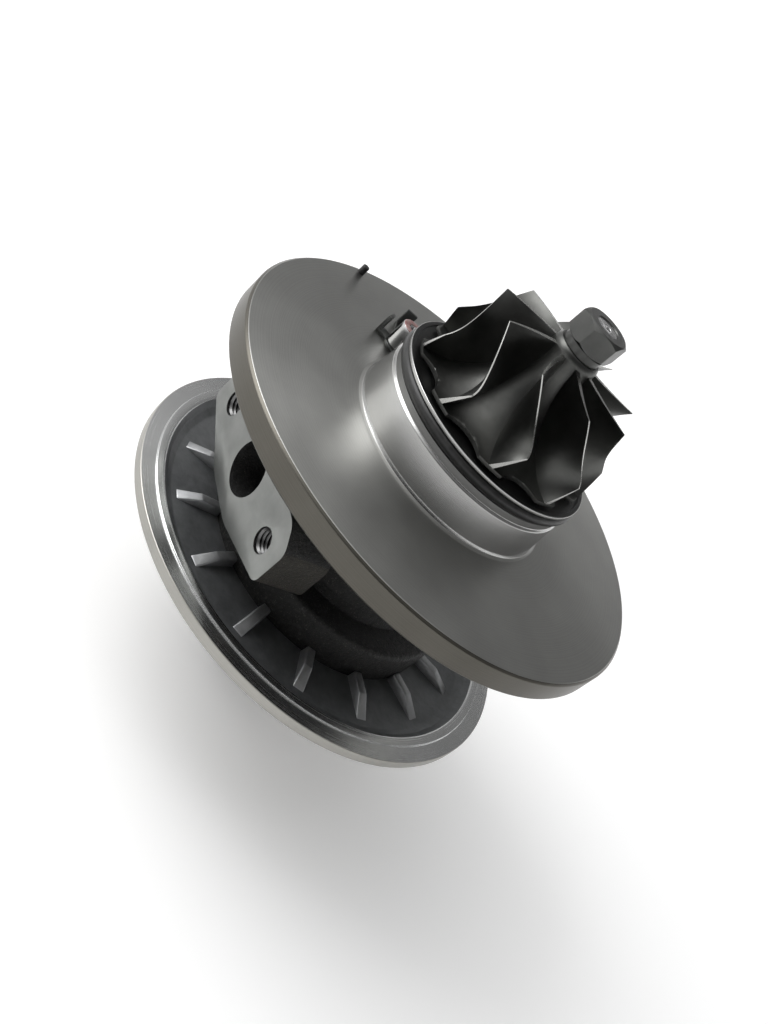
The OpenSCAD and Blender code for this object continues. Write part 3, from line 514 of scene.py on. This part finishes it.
def make_backplate():
    room_z, face_z = SEAT_Z + OIL_ROOM_DEPTH, BOSS_TOP_Z - BOSS_RECESS
    profile = [
        (OIL_ROOM_R, SEAT_Z), (DISC_R - DISC_EDGE, SEAT_Z), (DISC_R, SEAT_Z + DISC_EDGE),
        (DISC_R, DISC_TOP_Z - DISC_EDGE), (DISC_R - DISC_EDGE, DISC_TOP_Z),
        (BOSS_R + 1.0, DISC_TOP_Z), (BOSS_R + 0.3, DISC_TOP_Z + 0.3), (BOSS_R, DISC_TOP_Z + 1.0),
        (BOSS_STEP_R, BOSS_STEP_Z), (BOSS_NECK_R, BOSS_STEP_Z + 0.5),
        (BOSS_NECK_R, GROOVE_Z), (GROOVE_R, GROOVE_Z), (GROOVE_R, GROOVE_TOP_Z), (LIP_R, GROOVE_TOP_Z),
        (LIP_R, BOSS_TOP_Z), (LIP_R - LIP_W, BOSS_TOP_Z), (LIP_R - LIP_W, face_z),
        (PLATE_BORE_R, face_z), (PLATE_BORE_R, room_z), (OIL_ROOM_R, room_z),
    ]
    finishes = ("disc", "boss", "rim", "boss_face", "boss_neck")
    nodes = ("compressor_backplate",)
    revolved_piece("backplate", profile, finishes, "housing", nodes, 0.16, backplate_finish)


def make_boss_ring():
    middle = (GROOVE_Z + GROOVE_TOP_Z) / 2
    profile = arc((RING_R, middle), RING_SECTION, 0, 345, 23)
    bm = bmesh.new()
    revolve(bm, profile)
    mount_piece(finish_mesh(bm, "boss_ring", ("rubber",), 80.0), "housing", "boss_seal_ring")


SPIGOT_R, RIM_STEP_R, DISH_EDGE_R, DISH_R, PLUG_R, COLLAR_R = 48.0, 49.7, 47.7, 45.0, 28.93, 31.8


def flange_finish(r, z):
    if r > FLANGE_R - 0.2 or z < 0.4:
        return 2
    return 1 if z > RIM_TOP_Z - 0.7 and r > DISH_EDGE_R - 0.6 else 0


def make_flange():
    profile = [
        (PLUG_R, SPIGOT_Z), (SPIGOT_R, SPIGOT_Z), (SPIGOT_R, 0.0), (FLANGE_R - 1.0, 0.0), (FLANGE_R, 1.0),
        (FLANGE_R, RIM_TOP_Z - 0.5), (RIM_STEP_R, RIM_TOP_Z - 0.5), (RIM_STEP_R, RIM_TOP_Z),
        (DISH_EDGE_R, RIM_TOP_Z), (DISH_R + 1.1, DISH_FLOOR_Z + 0.9), (DISH_R - 0.6, DISH_FLOOR_Z),
        (PLUG_R, DISH_FLOOR_Z),
    ]
    finishes = ("flange", "bright", "flange_side")
    revolved_piece("flange", profile, finishes, "housing", ("turbine_flange",), 0.35, flange_finish)


RIB_COUNT, RIB_FIRST, RIB_HALF, RIB_H, RIB_TOP, RIB_SLOPE = 15, 17.6, 1.1, 2.3, 5.5, 5.5
RIB_ROOT, RIB_DRAFT, RIB_SINK, RIB_ROUND = 0.35, 0.15625, 0.6, 0.32


def make_ribs():
    """One rib with drafted sides and soft edges, then copies on a ring."""
    inner = COLLAR_R + 0.1
    outer = inner + RIB_TOP + RIB_SLOPE
    side = [(inner, -RIB_SINK), (inner, RIB_H), (inner + RIB_TOP, RIB_H), (outer, 0.0), (outer, -RIB_SINK)]

    def rib_point(r, h, sign):
        half = RIB_HALF + RIB_ROOT - RIB_DRAFT * max(h, 0.0)
        return (r * MM, sign * half * MM, (DISH_FLOOR_Z + h) * MM)

    bm = bmesh.new()
    close_prism(bm, [[bm.verts.new(rib_point(r, h, sign)) for r, h in side] for sign in (-1, 1)])
    bmesh.ops.bevel(bm, geom=bm.edges[:], offset=RIB_ROUND * MM, segments=3, profile=0.6, affect="EDGES")
    piece = finish_mesh(bm, "flange_ribs", ("rib",), 60.0)
    # The rib finish is the lighter copy of the casting, a painted highlight.
    ring_of(piece, RIB_COUNT, RIB_FIRST - 90, "rib", "rib")
    mount_piece(piece, "housing", slot=SLOT_OF["turbine_flange"])


SHIELD_H, SHIELD_T, SHIELD_HOLE_R, SHIELD_CUP_R, SHIELD_R = 4.0, 0.8, 9.2, 25.0, 44.0


def make_shield():
    low, high = SPIGOT_Z - SHIELD_H, SPIGOT_Z
    profile = [
        (SHIELD_HOLE_R, low + SHIELD_T), (SHIELD_CUP_R - SHIELD_T, low + SHIELD_T), (SHIELD_CUP_R, high),
        (SHIELD_R, high), (SHIELD_R, high - SHIELD_T), (SHIELD_CUP_R + SHIELD_T, high - SHIELD_T),
        (SHIELD_CUP_R, low), (SHIELD_HOLE_R, low),
    ]
    revolved_piece("shield", profile, ("sheet",), "housing", ("heat_shield",), 0.5)


# Bearing housing: one casting with a machined drain pad

WAIST_R, HEAD_R, HEAD_Z = 22.5, 41.0, SEAT_Z - 7.5
COLLAR_ROUND, WAIST_SLOPE, HEAD_FILLET, HEAD_EDGE = 1.2, 1.6, 3.0, 0.8
BORE_R, HOUSING_PLUG_R, SEAT_BORE_R, SEAT_BORE_DEPTH = 8.5, 28.9, 20.0, 3.0
COLLAR_TOP_Z = DISH_FLOOR_Z + 9.2
PAD_HALF, PAD_LOW, PAD_HIGH, PAD_LOW_HALF, PAD_END, PAD_CORNER = 26.3, 10.4, 9.0, 7.0, 5.0, 5.0
PAD_T, NECK_HALF, NECK_STEP, SCREW_DEPTH = 12.0, 14.0, 0.8, 10.0
DRAIN_R, DRAIN_DEPTH, DRAIN_SCREW_R, DRAIN_SPACING = 6.35, 22.0, 2.6, 38.0
THREAD_CUT_R = DRAIN_SCREW_R + 0.35
INLET_DIST, INLET_ROOT, INLET_BOSS_R, INLET_R, INLET_DEPTH = 35.0, 12.0, 8.5, 4.5, 10.0


def cylinder_between(name, center_x, y_from, y_to, z, radius, segments=96):
    """A closed cylinder along Y, used to add or cut."""
    bm = bmesh.new()
    bmesh.ops.create_cone(bm, cap_ends=True, segments=segments, radius1=radius * MM, radius2=radius * MM,
                          depth=abs(y_to - y_from) * MM)
    bmesh.ops.rotate(bm, verts=bm.verts, matrix=Matrix.Rotation(math.pi / 2, 3, "X"))
    bmesh.ops.translate(bm, verts=bm.verts, vec=Vector((center_x, (y_from + y_to) / 2, z)) * MM)
    return finish_mesh(bm, name, ("housing",))


def block_between(name, outline, y_from, y_to, round_by):
    """A block along Y over an outline of (x, z) points round the drain hole, with rounded long edges."""
    bm = bmesh.new()
    rows = [[bm.verts.new((x * MM, y * MM, (PAD_Z + z) * MM)) for x, z in outline] for y in (y_from, y_to)]
    close_prism(bm, rows)
    upright = [e for e in bm.edges if abs(e.verts[0].co.y - e.verts[1].co.y) > 0.001]
    bmesh.ops.bevel(bm, geom=upright, offset=round_by * MM, segments=5, profile=0.5, affect="EDGES")
    return finish_mesh(bm, name, ("housing",))


def pad_block():
    outline = [
        (-PAD_HALF, -PAD_END), (-PAD_LOW_HALF, -PAD_LOW), (PAD_LOW_HALF, -PAD_LOW), (PAD_HALF, -PAD_END),
        (PAD_HALF, PAD_END), (PAD_HALF - PAD_CORNER, PAD_HIGH), (PAD_CORNER - PAD_HALF, PAD_HIGH),
        (-PAD_HALF, PAD_END),
    ]
    return block_between("pad_block", outline, -PAD_DIST, PAD_T - PAD_DIST, 1.6)


def drain_neck():
    low, high = NECK_STEP - PAD_LOW, PAD_HIGH - NECK_STEP
    outline = [(-NECK_HALF, low), (NECK_HALF, low), (NECK_HALF, high), (-NECK_HALF, high)]
    return block_between("drain_neck", outline, 1.0 - PAD_DIST, -8.0, 1.5)


def combine(piece, other, operation):
    modifier = piece.modifiers.new("combine", "BOOLEAN")
    modifier.object = other
    modifier.operation = operation
    modifier.solver = "EXACT"
    apply_modifiers(piece)
    bpy.data.objects.remove(other)


def make_housing():
    profile = [
        (BORE_R, SPIGOT_Z), (HOUSING_PLUG_R, SPIGOT_Z), (HOUSING_PLUG_R, DISH_FLOOR_Z),
        (COLLAR_R, DISH_FLOOR_Z),
        *arc((COLLAR_R - COLLAR_ROUND, COLLAR_TOP_Z - COLLAR_ROUND), COLLAR_ROUND, 0, 90, 5),
        (WAIST_R + WAIST_SLOPE, COLLAR_TOP_Z), (WAIST_R, COLLAR_TOP_Z + WAIST_SLOPE),
        *arc((WAIST_R + HEAD_FILLET, HEAD_Z - HEAD_FILLET), HEAD_FILLET, 180, 90, 5),
        (HEAD_R - HEAD_EDGE, HEAD_Z), (HEAD_R, HEAD_Z + HEAD_EDGE), (HEAD_R, SEAT_Z), (SEAT_BORE_R, SEAT_Z),
        (SEAT_BORE_R, SEAT_Z - SEAT_BORE_DEPTH), (BORE_R, SEAT_Z - SEAT_BORE_DEPTH),
    ]
    housing = turned_form("housing_casting", profile, "housing", 180)
    combine(housing, drain_neck(), "UNION")
    combine(housing, pad_block(), "UNION")
    inlet_boss = cylinder_between("inlet_boss", 0, INLET_ROOT, INLET_DIST, PAD_Z, INLET_BOSS_R)
    combine(housing, inlet_boss, "UNION")
    holes = [
        (0, -PAD_DIST - 1, DRAIN_DEPTH - PAD_DIST, DRAIN_R, 96),
        (0, INLET_DIST - INLET_DEPTH, INLET_DIST + 1, INLET_R, 96),
    ]
    for side in (-1, 1):
        holes.append((side * DRAIN_SPACING / 2, -PAD_DIST - 1, SCREW_DEPTH - PAD_DIST, THREAD_CUT_R, 64))
    for x, y_from, y_to, radius, segments in holes:
        combine(housing, cylinder_between("hole", x, y_from, y_to, PAD_Z, radius, segments), "DIFFERENCE")
    soften_edges(housing, 0.45, 38)
    mesh = housing.data
    mesh.materials.clear()
    for finish in ("housing", "pad", "pad_end"):
        mesh.materials.append(MATERIALS[finish])
    for face in mesh.polygons:
        on_drain_pad = face.center.y < (-PAD_DIST + 0.5) * MM
        on_inlet = face.center.y > (INLET_DIST - 0.5) * MM
        on_end = abs(face.center.x) > (PAD_HALF - 0.5) * MM and face.center.y < -20 * MM
        face.material_index = 1 if on_drain_pad or on_inlet else 2 if on_end else 0
    smooth(mesh, 35)
    mount_piece(housing, "housing", "bearing_housing")


SCREW_PITCH, SCREW_TURNS, INLET_PITCH, INLET_TURNS = 1.0, 8, 1.25, 7
THREAD_STEPS, THREAD_HALF, THREAD_DEPTH = 40, 0.42, 0.52


def make_threads():
    """Thread ridges in the two drain screw holes and the inlet, as swept V sections."""
    bm = bmesh.new()
    holes = [
        (side * DRAIN_SPACING / 2, -PAD_DIST, 1, DRAIN_SCREW_R + 0.4, SCREW_PITCH, SCREW_TURNS)
        for side in (-1, 1)
    ]
    holes.append((0, INLET_DIST, -1, INLET_R + 0.05, INLET_PITCH, INLET_TURNS))
    for x, y, inward, radius, pitch, turns in holes:
        rows = []
        for k in range(turns * THREAD_STEPS + 1):
            a = 2 * math.pi * k / THREAD_STEPS
            along = y + inward * (0.5 + pitch * k / THREAD_STEPS)
            section = ((radius, -THREAD_HALF), (radius - THREAD_DEPTH, 0.0), (radius, THREAD_HALF))
            rows.append([
                bm.verts.new(Vector((x + r * math.cos(a), along + d * pitch, PAD_Z + r * math.sin(a))) * MM)
                for r, d in section
            ])
        for first, second in zip(rows, rows[1:]):
            for i in range(3):
                k = (i + 1) % 3
                bm.faces.new((first[i], second[i], second[k], first[k]))
        bm.faces.new(rows[0])
        bm.faces.new(rows[-1][::-1])
    piece = finish_mesh(bm, "hole_threads", ("fastener",), 25.0)
    mount_piece(piece, "housing", slot=SLOT_OF["front_screw"])


# Wheels

def ellipse_line(axial, radial, s):
    """A point of a hub or tip line, which leaves the axial end along the shaft and ends radially."""
    return (
        axial[0] + (radial[0] - axial[0]) * (1 - math.cos(math.pi / 2 * s)),
        radial[1] + (axial[1] - radial[1]) * (1 - math.sin(math.pi / 2 * s)),
    )


def mix(a, b, s):
    return a + (b - a) * s


def blade_mesh(hub, tip, turn, half, corner, along=32, across=12, sink=0.05):
    """One blade as a thin tapered loft. Its rim faces carry the edge_face mark."""
    bm = bmesh.new()
    edge_layer = bm.faces.layers.bool.new("edge_face")

    def point(s, v, side):
        h = ellipse_line(*hub, s)
        t = ellipse_line(*tip, s)
        r, z = mix(h[0], t[0], v), mix(h[1], t[1] - corner * s ** 6, v)
        bend = 1 - (1 - s) ** 1.8
        angle = mix(mix(turn[0], turn[1], v), mix(turn[2], turn[3], v), bend) - 90
        a = math.radians(angle) + side * mix(half[0], half[1], v) / r
        return Vector((r * math.cos(a), r * math.sin(a), z)) * MM

    sheets = [
        [[bm.verts.new(point(i / along, mix(-sink, 1, j / across), side)) for j in range(across + 1)]
         for i in range(along + 1)]
        for side in (-1, 1)
    ]
    for sheet in sheets:
        for i in range(along):
            for j in range(across):
                bm.faces.new((sheet[i][j], sheet[i + 1][j], sheet[i + 1][j + 1], sheet[i][j + 1]))
    border = [(i, 0) for i in range(along)] + [(along, j) for j in range(across)]
    border += [(i, across) for i in range(along, 0, -1)] + [(0, j) for j in range(across, 0, -1)]
    for (i, j), (k, m) in zip(border, border[1:] + border[:1]):
        face = bm.faces.new((sheets[0][i][j], sheets[0][k][m], sheets[1][k][m], sheets[1][i][j]))
        face[edge_layer] = not (j == 0 and m == 0)
    return bm


def hub_mesh(profile, count, first, radius, scallop, depth):
    """A hub turned from a profile, with its thin rim pulled in between the blades."""
    bm = bmesh.new()
    revolve(bm, profile, segments=count * 40)
    limit = radius - depth
    for vert in bm.verts:
        r = vert.co.xy.length / MM
        if r <= limit - 1e-6:
            continue
        a = math.degrees(math.atan2(vert.co.y, vert.co.x)) + 90 - first
        off = math.radians((a + 180 / count) % (360 / count) - 180 / count)
        off = math.pi / count - abs(off)
        center = radius + scallop - depth
        inside = scallop ** 2 - (center * math.sin(off)) ** 2
        edge = center * math.cos(off) - math.sqrt(inside) if inside > 0 else r
        if r > edge:
            vert.co.xy *= edge / r
    bmesh.ops.dissolve_degenerate(bm, dist=1e-6, edges=bm.edges)
    return bm


def join_into(piece, other):
    """Adds another piece's mesh to a piece and removes the other object."""
    bm = bmesh.new()
    bm.from_mesh(piece.data)
    offset = len(piece.data.materials)
    before = len(bm.faces)
    bm.from_mesh(other.data)
    bm.faces.ensure_lookup_table()
    for face in bm.faces[before:]:
        face.material_index += offset
    bm.to_mesh(piece.data)
    bm.free()
    for material in other.data.materials:
        piece.data.materials.append(material)
    bpy.data.objects.remove(other)


def hexagon(name, across_flats, low, high, finish, bevel=0.35):
    bm = bmesh.new()
    corner = across_flats / 2 / math.cos(math.pi / 6)
    turns = [k * math.pi / 3 for k in range(6)]
    rows = [
        [bm.verts.new((corner * math.cos(a) * MM, corner * math.sin(a) * MM, z * MM)) for a in turns]
        for z in (low, high)
    ]
    bm.faces.new(rows[0][::-1])
    bm.faces.new(rows[1])
    for k in range(6):
        bm.faces.new((rows[0][k], rows[0][(k + 1) % 6], rows[1][(k + 1) % 6], rows[1][k]))
    bmesh.ops.bevel(bm, geom=bm.edges[:], offset=bevel * MM, segments=3, profile=0.5, affect="EDGES")
    return finish_mesh(bm, name, (finish,))


BLADES, INLET_TIP_AT, ROOT_LEAD, WRAP, LEAN, OUTLET_CORNER = 9, -1.0, 8.0, 27.0, 8.5, 1.8
OUTLET_R, OUTLET_DISC, OUTLET_H = 24.0, 0.8, 8.2
INLET_TIP_R, INLET_TIP_H, HUB_R, HUB_H = 19.5, 19.8, 6.0, 21.0
BLADE_HALF, SCALLOP_R, SCALLOP_DEPTH = (0.6, 0.17), 6.5, 3.0
SHAFT_HOLE_R, WHEEL_SHARP = 3.02, 40.0


def make_compressor_wheel():
    disc_z = WHEEL_Z + OUTLET_DISC
    hub = ((HUB_R, WHEEL_Z + HUB_H), (OUTLET_R, disc_z))
    tip = ((INLET_TIP_R, WHEEL_Z + INLET_TIP_H), (OUTLET_R, disc_z + OUTLET_H))
    turn = (INLET_TIP_AT - ROOT_LEAD, INLET_TIP_AT, INLET_TIP_AT + WRAP - LEAN, INLET_TIP_AT + WRAP)
    blade = blade_mesh(hub, tip, turn, BLADE_HALF, OUTLET_CORNER)
    blades = finish_mesh(blade, "wheel_blades", ("wheel",), WHEEL_SHARP)
    # The blade rim faces get the bright edge finish, a painted highlight.
    ring_of(blades, BLADES, 0.0, "wheel", "wheel_edge")
    profile = [(SHAFT_HOLE_R, NOSE_Z), (HUB_R - 0.6, NOSE_Z), (HUB_R - 0.1, NOSE_Z - 0.6)]
    profile += [ellipse_line(*hub, k / 40) for k in range(41)]
    profile += [(OUTLET_R, WHEEL_Z), (SHAFT_HOLE_R, WHEEL_Z)]
    body = hub_mesh(profile, BLADES, INLET_TIP_AT + WRAP - LEAN, OUTLET_R, SCALLOP_R, SCALLOP_DEPTH)
    wheel = finish_mesh(body, "wheel", ("wheel",), WHEEL_SHARP)
    join_into(wheel, blades)
    mount_piece(wheel, "rotor", "compressor_wheel")


TURBINE_BLADES, TURBINE_BLADE_HALF, TURBINE_WRAP = 11, (0.75, 0.4), -34.0
GAS_IN_R, GAS_IN_H, GAS_OUT_R = 21.0, 7.5, 18.8
TURBINE_DISC, TURBINE_LEN, TURBINE_HUB, TURBINE_END = 1.4, 17.5, 5.6, 1.2
TURBINE_SCALLOP_R, TURBINE_SCALLOP_DEPTH = 5.0, 2.0
TURBINE_NOSE, TURBINE_NOSE_AF, WELD_R, WELD_H = 4.5, 8.0, 8.4, 1.2


def make_turbine_wheel():
    disc_z = TURBINE_BACK_Z - TURBINE_DISC
    end_z = disc_z - TURBINE_LEN
    hub = ((TURBINE_HUB, end_z), (GAS_IN_R, disc_z))
    tip = ((GAS_OUT_R, end_z), (GAS_IN_R, disc_z - GAS_IN_H))
    turn = (TURBINE_WRAP, TURBINE_WRAP, 0.0, 0.0)
    blade = blade_mesh(hub, tip, turn, TURBINE_BLADE_HALF, 0.0)
    blades = finish_mesh(blade, "turbine_blades", ("turbine",), WHEEL_SHARP)
    ring_of(blades, TURBINE_BLADES, 0.0, "turbine", "turbine")
    face_z, weld_z = end_z - TURBINE_END, TURBINE_BACK_Z + WELD_H
    profile = [(0.0, face_z), (TURBINE_HUB - 0.5, face_z), (TURBINE_HUB, face_z + 0.5)]
    profile += [ellipse_line(*hub, k / 36) for k in range(37)]
    profile += [(GAS_IN_R, TURBINE_BACK_Z), (WELD_R, TURBINE_BACK_Z), (WELD_R, weld_z), (0.0, weld_z)]
    body = hub_mesh(profile, TURBINE_BLADES, 0.0, GAS_IN_R, TURBINE_SCALLOP_R, TURBINE_SCALLOP_DEPTH)
    wheel = finish_mesh(body, "gas_wheel", ("turbine",), WHEEL_SHARP)
    join_into(wheel, blades)
    nose = hexagon("gas_wheel_nose", TURBINE_NOSE_AF, face_z - TURBINE_NOSE, face_z + 0.4, "turbine")
    join_into(wheel, nose)
    mount_piece(wheel, "rotor", "turbine_wheel")


NUT_AF, NUT_NECK_R, NUT_NECK_H, NUT_CHAMFER = 11.0, 4.9, 1.9, 0.95


def make_nut():
    """A hexagon cut by a turned body, so that both ends have the round chamfer of a nut."""
    hex_z = NOSE_Z + NUT_NECK_H
    corner = NUT_AF / 2 / math.cos(math.pi / 6)
    nut = hexagon("nut", NUT_AF, hex_z - 0.01, NUT_TOP_Z + 0.01, "nut", 0.15)
    form = [
        (0.0, hex_z), (corner - NUT_CHAMFER, hex_z), (corner + 0.1, hex_z + NUT_CHAMFER),
        (corner + 0.1, NUT_TOP_Z - NUT_CHAMFER), (corner - NUT_CHAMFER - 0.2, NUT_TOP_Z), (0.0, NUT_TOP_Z),
    ]
    neck = [(0.0, NOSE_Z), (NUT_NECK_R, NOSE_Z), (NUT_NECK_R, hex_z + 0.6), (0.0, hex_z + 0.6)]
    bore = [
        (0.0, NOSE_Z - 1), (SHAFT_HOLE_R, NOSE_Z - 1), (SHAFT_HOLE_R, NUT_TOP_Z - 0.2),
        (SHAFT_HOLE_R + 0.28, NUT_TOP_Z + 0.2), (0.0, NUT_TOP_Z + 0.2),
    ]
    combine(nut, turned_form("nut_form", form, "nut", 120), "INTERSECT")
    combine(nut, turned_form("nut_neck", neck, "nut", 96), "UNION")
    combine(nut, turned_form("nut_bore", bore, "nut", 96), "DIFFERENCE")
    nut.data.materials.clear()
    nut.data.materials.append(MATERIALS["nut"])
    for face in nut.data.polygons:
        face.material_index = 0
    smooth(nut.data, 30)
    mount_piece(nut, "rotor", "compressor_nut")


# Small steel pieces: merged copies of the frame's own solids, with softened edges

def dressed_copy(node, name, finish, body, width, top_finish=None, end_lift=0.0):
    """A copy with rounded edges. Its top face may have a finish of its own, and its top end may be raised."""
    bm = bmesh.new()
    bm.from_mesh(frame["nodes"][node].data)
    top = max(vert.co.z for vert in bm.verts)
    for vert in bm.verts:
        if vert.co.z > top - 2 * MM:
            vert.co.z += end_lift * MM
    bmesh.ops.remove_doubles(bm, verts=bm.verts, dist=2e-6)
    bmesh.ops.dissolve_limit(bm, angle_limit=math.radians(1), verts=bm.verts, edges=bm.edges)
    piece = finish_mesh(bm, name, (finish,))
    soften_edges(piece, width, 40)
    smooth(piece.data, 40)
    if top_finish:
        piece.data.materials.append(MATERIALS[top_finish])
        top = max(vert.co.z for vert in piece.data.vertices)
        for face in piece.data.polygons:
            face.material_index = 1 if face.center.z > top - 0.15 * MM else 0
    mount_piece(piece, body, node)


make_backplate()
make_boss_ring()
make_flange()
make_ribs()
make_shield()
make_housing()
make_threads()
make_compressor_wheel()
make_turbine_wheel()
make_nut()
# The screw's top face takes the reddish patches.
dressed_copy("front_screw", "plate_screw", "screw", "housing", 0.4, "paint")
dressed_copy("rotor_shaft", "shaft", "shaft", "rotor", 0.15, end_lift=0.6)
dressed_copy("lock_plate", "screw_lock", "lock", "housing", 0.12)
dressed_copy("rim_dowel", "rim_pin", "dark_pin", "housing", 0.2)
dressed_copy("backplate_bolts", "rear_bolts", "fastener", "housing", 0.3)


# Floor, light and camera

FLOOR_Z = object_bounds()[0][2] - 0.002
CAMERA_PLACE = Vector((161.5, -178.7, 157.3)) * MM
CAMERA_RIGHT = Vector((0.2196, 0.7065, 0.6728))
CAMERA_UP = Vector((-0.7803, -0.2868, 0.5558))
FOCAL_PX, IMAGE_H, SENSOR = 1200.0, 1024.0, 36.0
SKY_LOW, SKY_HIGH, SKY_FALL = 0.24, 2.3, 2.2
FLOOR_R, COVE_R, COVE_H = 6000.0, 1000.0, 1300.0
FLOOR_GLOW_NEAR, FLOOR_GLOW_FAR, GLOW_FROM, GLOW_TO = 0.2, 0.5, 0.15, 0.9
SHADE_LOW, SHADE_FROM, SHADE_TO = 0.1, 0.5, 0.9
KEY_PLACE, KEY_TARGET, KEY_SIZE, KEY_POWER = (-0.49, -0.55, 0.57), (0, 0, 0.03), 0.6, 4.5
BRIGHT_SIDE = (-0.30, -0.64, 0.707)
DARK_SIDE = (0.62, -0.68, 0.40)


def make_floor():
    """A pale floor with a far cove, white to the camera and in reflections except in the shadow."""
    material, tree, shader = new_material("floor_white", Roughness=0.9, Specular_IOR_Level=0.1)
    coordinates = object_coordinates(tree)
    path = add(tree, "ShaderNodeLightPath")
    seen = math_node(tree, "MAXIMUM", path.outputs["Is Camera Ray"], path.outputs["Is Glossy Ray"])
    seen = math_node(tree, "MAXIMUM", seen, path.outputs["Is Transmission Ray"])
    away = add(tree, "ShaderNodeVectorMath", operation="LENGTH")
    link(tree, coordinates, away.inputs[0])
    glow = spread(tree, away.outputs["Value"], FLOOR_GLOW_NEAR, FLOOR_GLOW_FAR, GLOW_FROM, GLOW_TO)
    link(tree, math_node(tree, "MULTIPLY", glow, seen), shader.inputs["Emission Strength"])
    pale = ramp(tree, noise(tree, coordinates, 3.0), [(0.2, 0.90), (0.8, 0.94)])
    link(tree, pale, shader.inputs["Base Color"])
    MATERIALS["floor"] = material
    low = FLOOR_Z / MM
    cove = arc((FLOOR_R - COVE_R, low + COVE_R), COVE_R, -90, 0, 12)
    profile = [(0.0, low), *cove, (FLOOR_R, low + COVE_H)]
    bm = bmesh.new()
    revolve(bm, profile, segments=96, closed=False)
    finish_mesh(bm, "floor", ("floor",), 80.0)


def toward(tree, direction, axis):
    """How far a direction points along an axis."""
    node = add(tree, "ShaderNodeVectorMath", operation="DOT_PRODUCT")
    link(tree, direction, node.inputs[0])
    node.inputs[1].default_value = axis
    return node.outputs["Value"]


def make_world():
    """A soft sky with a bright and a dark side."""
    world = bpy.data.worlds.new("studio")
    bpy.context.scene.world = world
    world.use_nodes = True
    tree = world.node_tree
    background = tree.nodes["Background"]
    background.inputs["Color"].default_value = (1.0, 1.0, 1.0, 1.0)
    direction = add(tree, "ShaderNodeTexCoord").outputs["Generated"]
    near_pole = math_node(tree, "MAXIMUM", toward(tree, direction, BRIGHT_SIDE), 0.0)
    sky = spread(tree, math_node(tree, "POWER", near_pole, SKY_FALL), SKY_LOW, SKY_HIGH)
    shade = spread(tree, toward(tree, direction, DARK_SIDE), 1.0, SHADE_LOW, SHADE_FROM, SHADE_TO)
    link(tree, math_node(tree, "MULTIPLY", sky, shade), background.inputs["Strength"])


def area_light(name, place, target, size, power):
    lamp = bpy.data.lights.new(name, "AREA")
    lamp.size = size
    lamp.energy = power
    light = bpy.data.objects.new(name, lamp)
    light.location = place
    light.rotation_euler = (Vector(target) - Vector(place)).to_track_quat("-Z", "Y").to_euler()
    bpy.context.scene.collection.objects.link(light)


def make_camera():
    camera = bpy.data.cameras.new("photo_view")
    camera.sensor_fit = "VERTICAL"
    camera.sensor_height = SENSOR
    camera.lens = FOCAL_PX / IMAGE_H * SENSOR
    camera.clip_start = 0.01
    back = CAMERA_RIGHT.cross(CAMERA_UP)
    turn = Matrix((CAMERA_RIGHT, CAMERA_UP, back)).transposed()
    item = bpy.data.objects.new("photo_view", camera)
    item.matrix_world = Matrix.Translation(CAMERA_PLACE) @ turn.to_4x4()
    bpy.context.scene.collection.objects.link(item)
    bpy.context.scene.camera = item


make_floor()
make_world()
area_light("key", KEY_PLACE, KEY_TARGET, KEY_SIZE, KEY_POWER)
make_camera()

bpy.context.scene.view_settings.view_transform = "Standard"
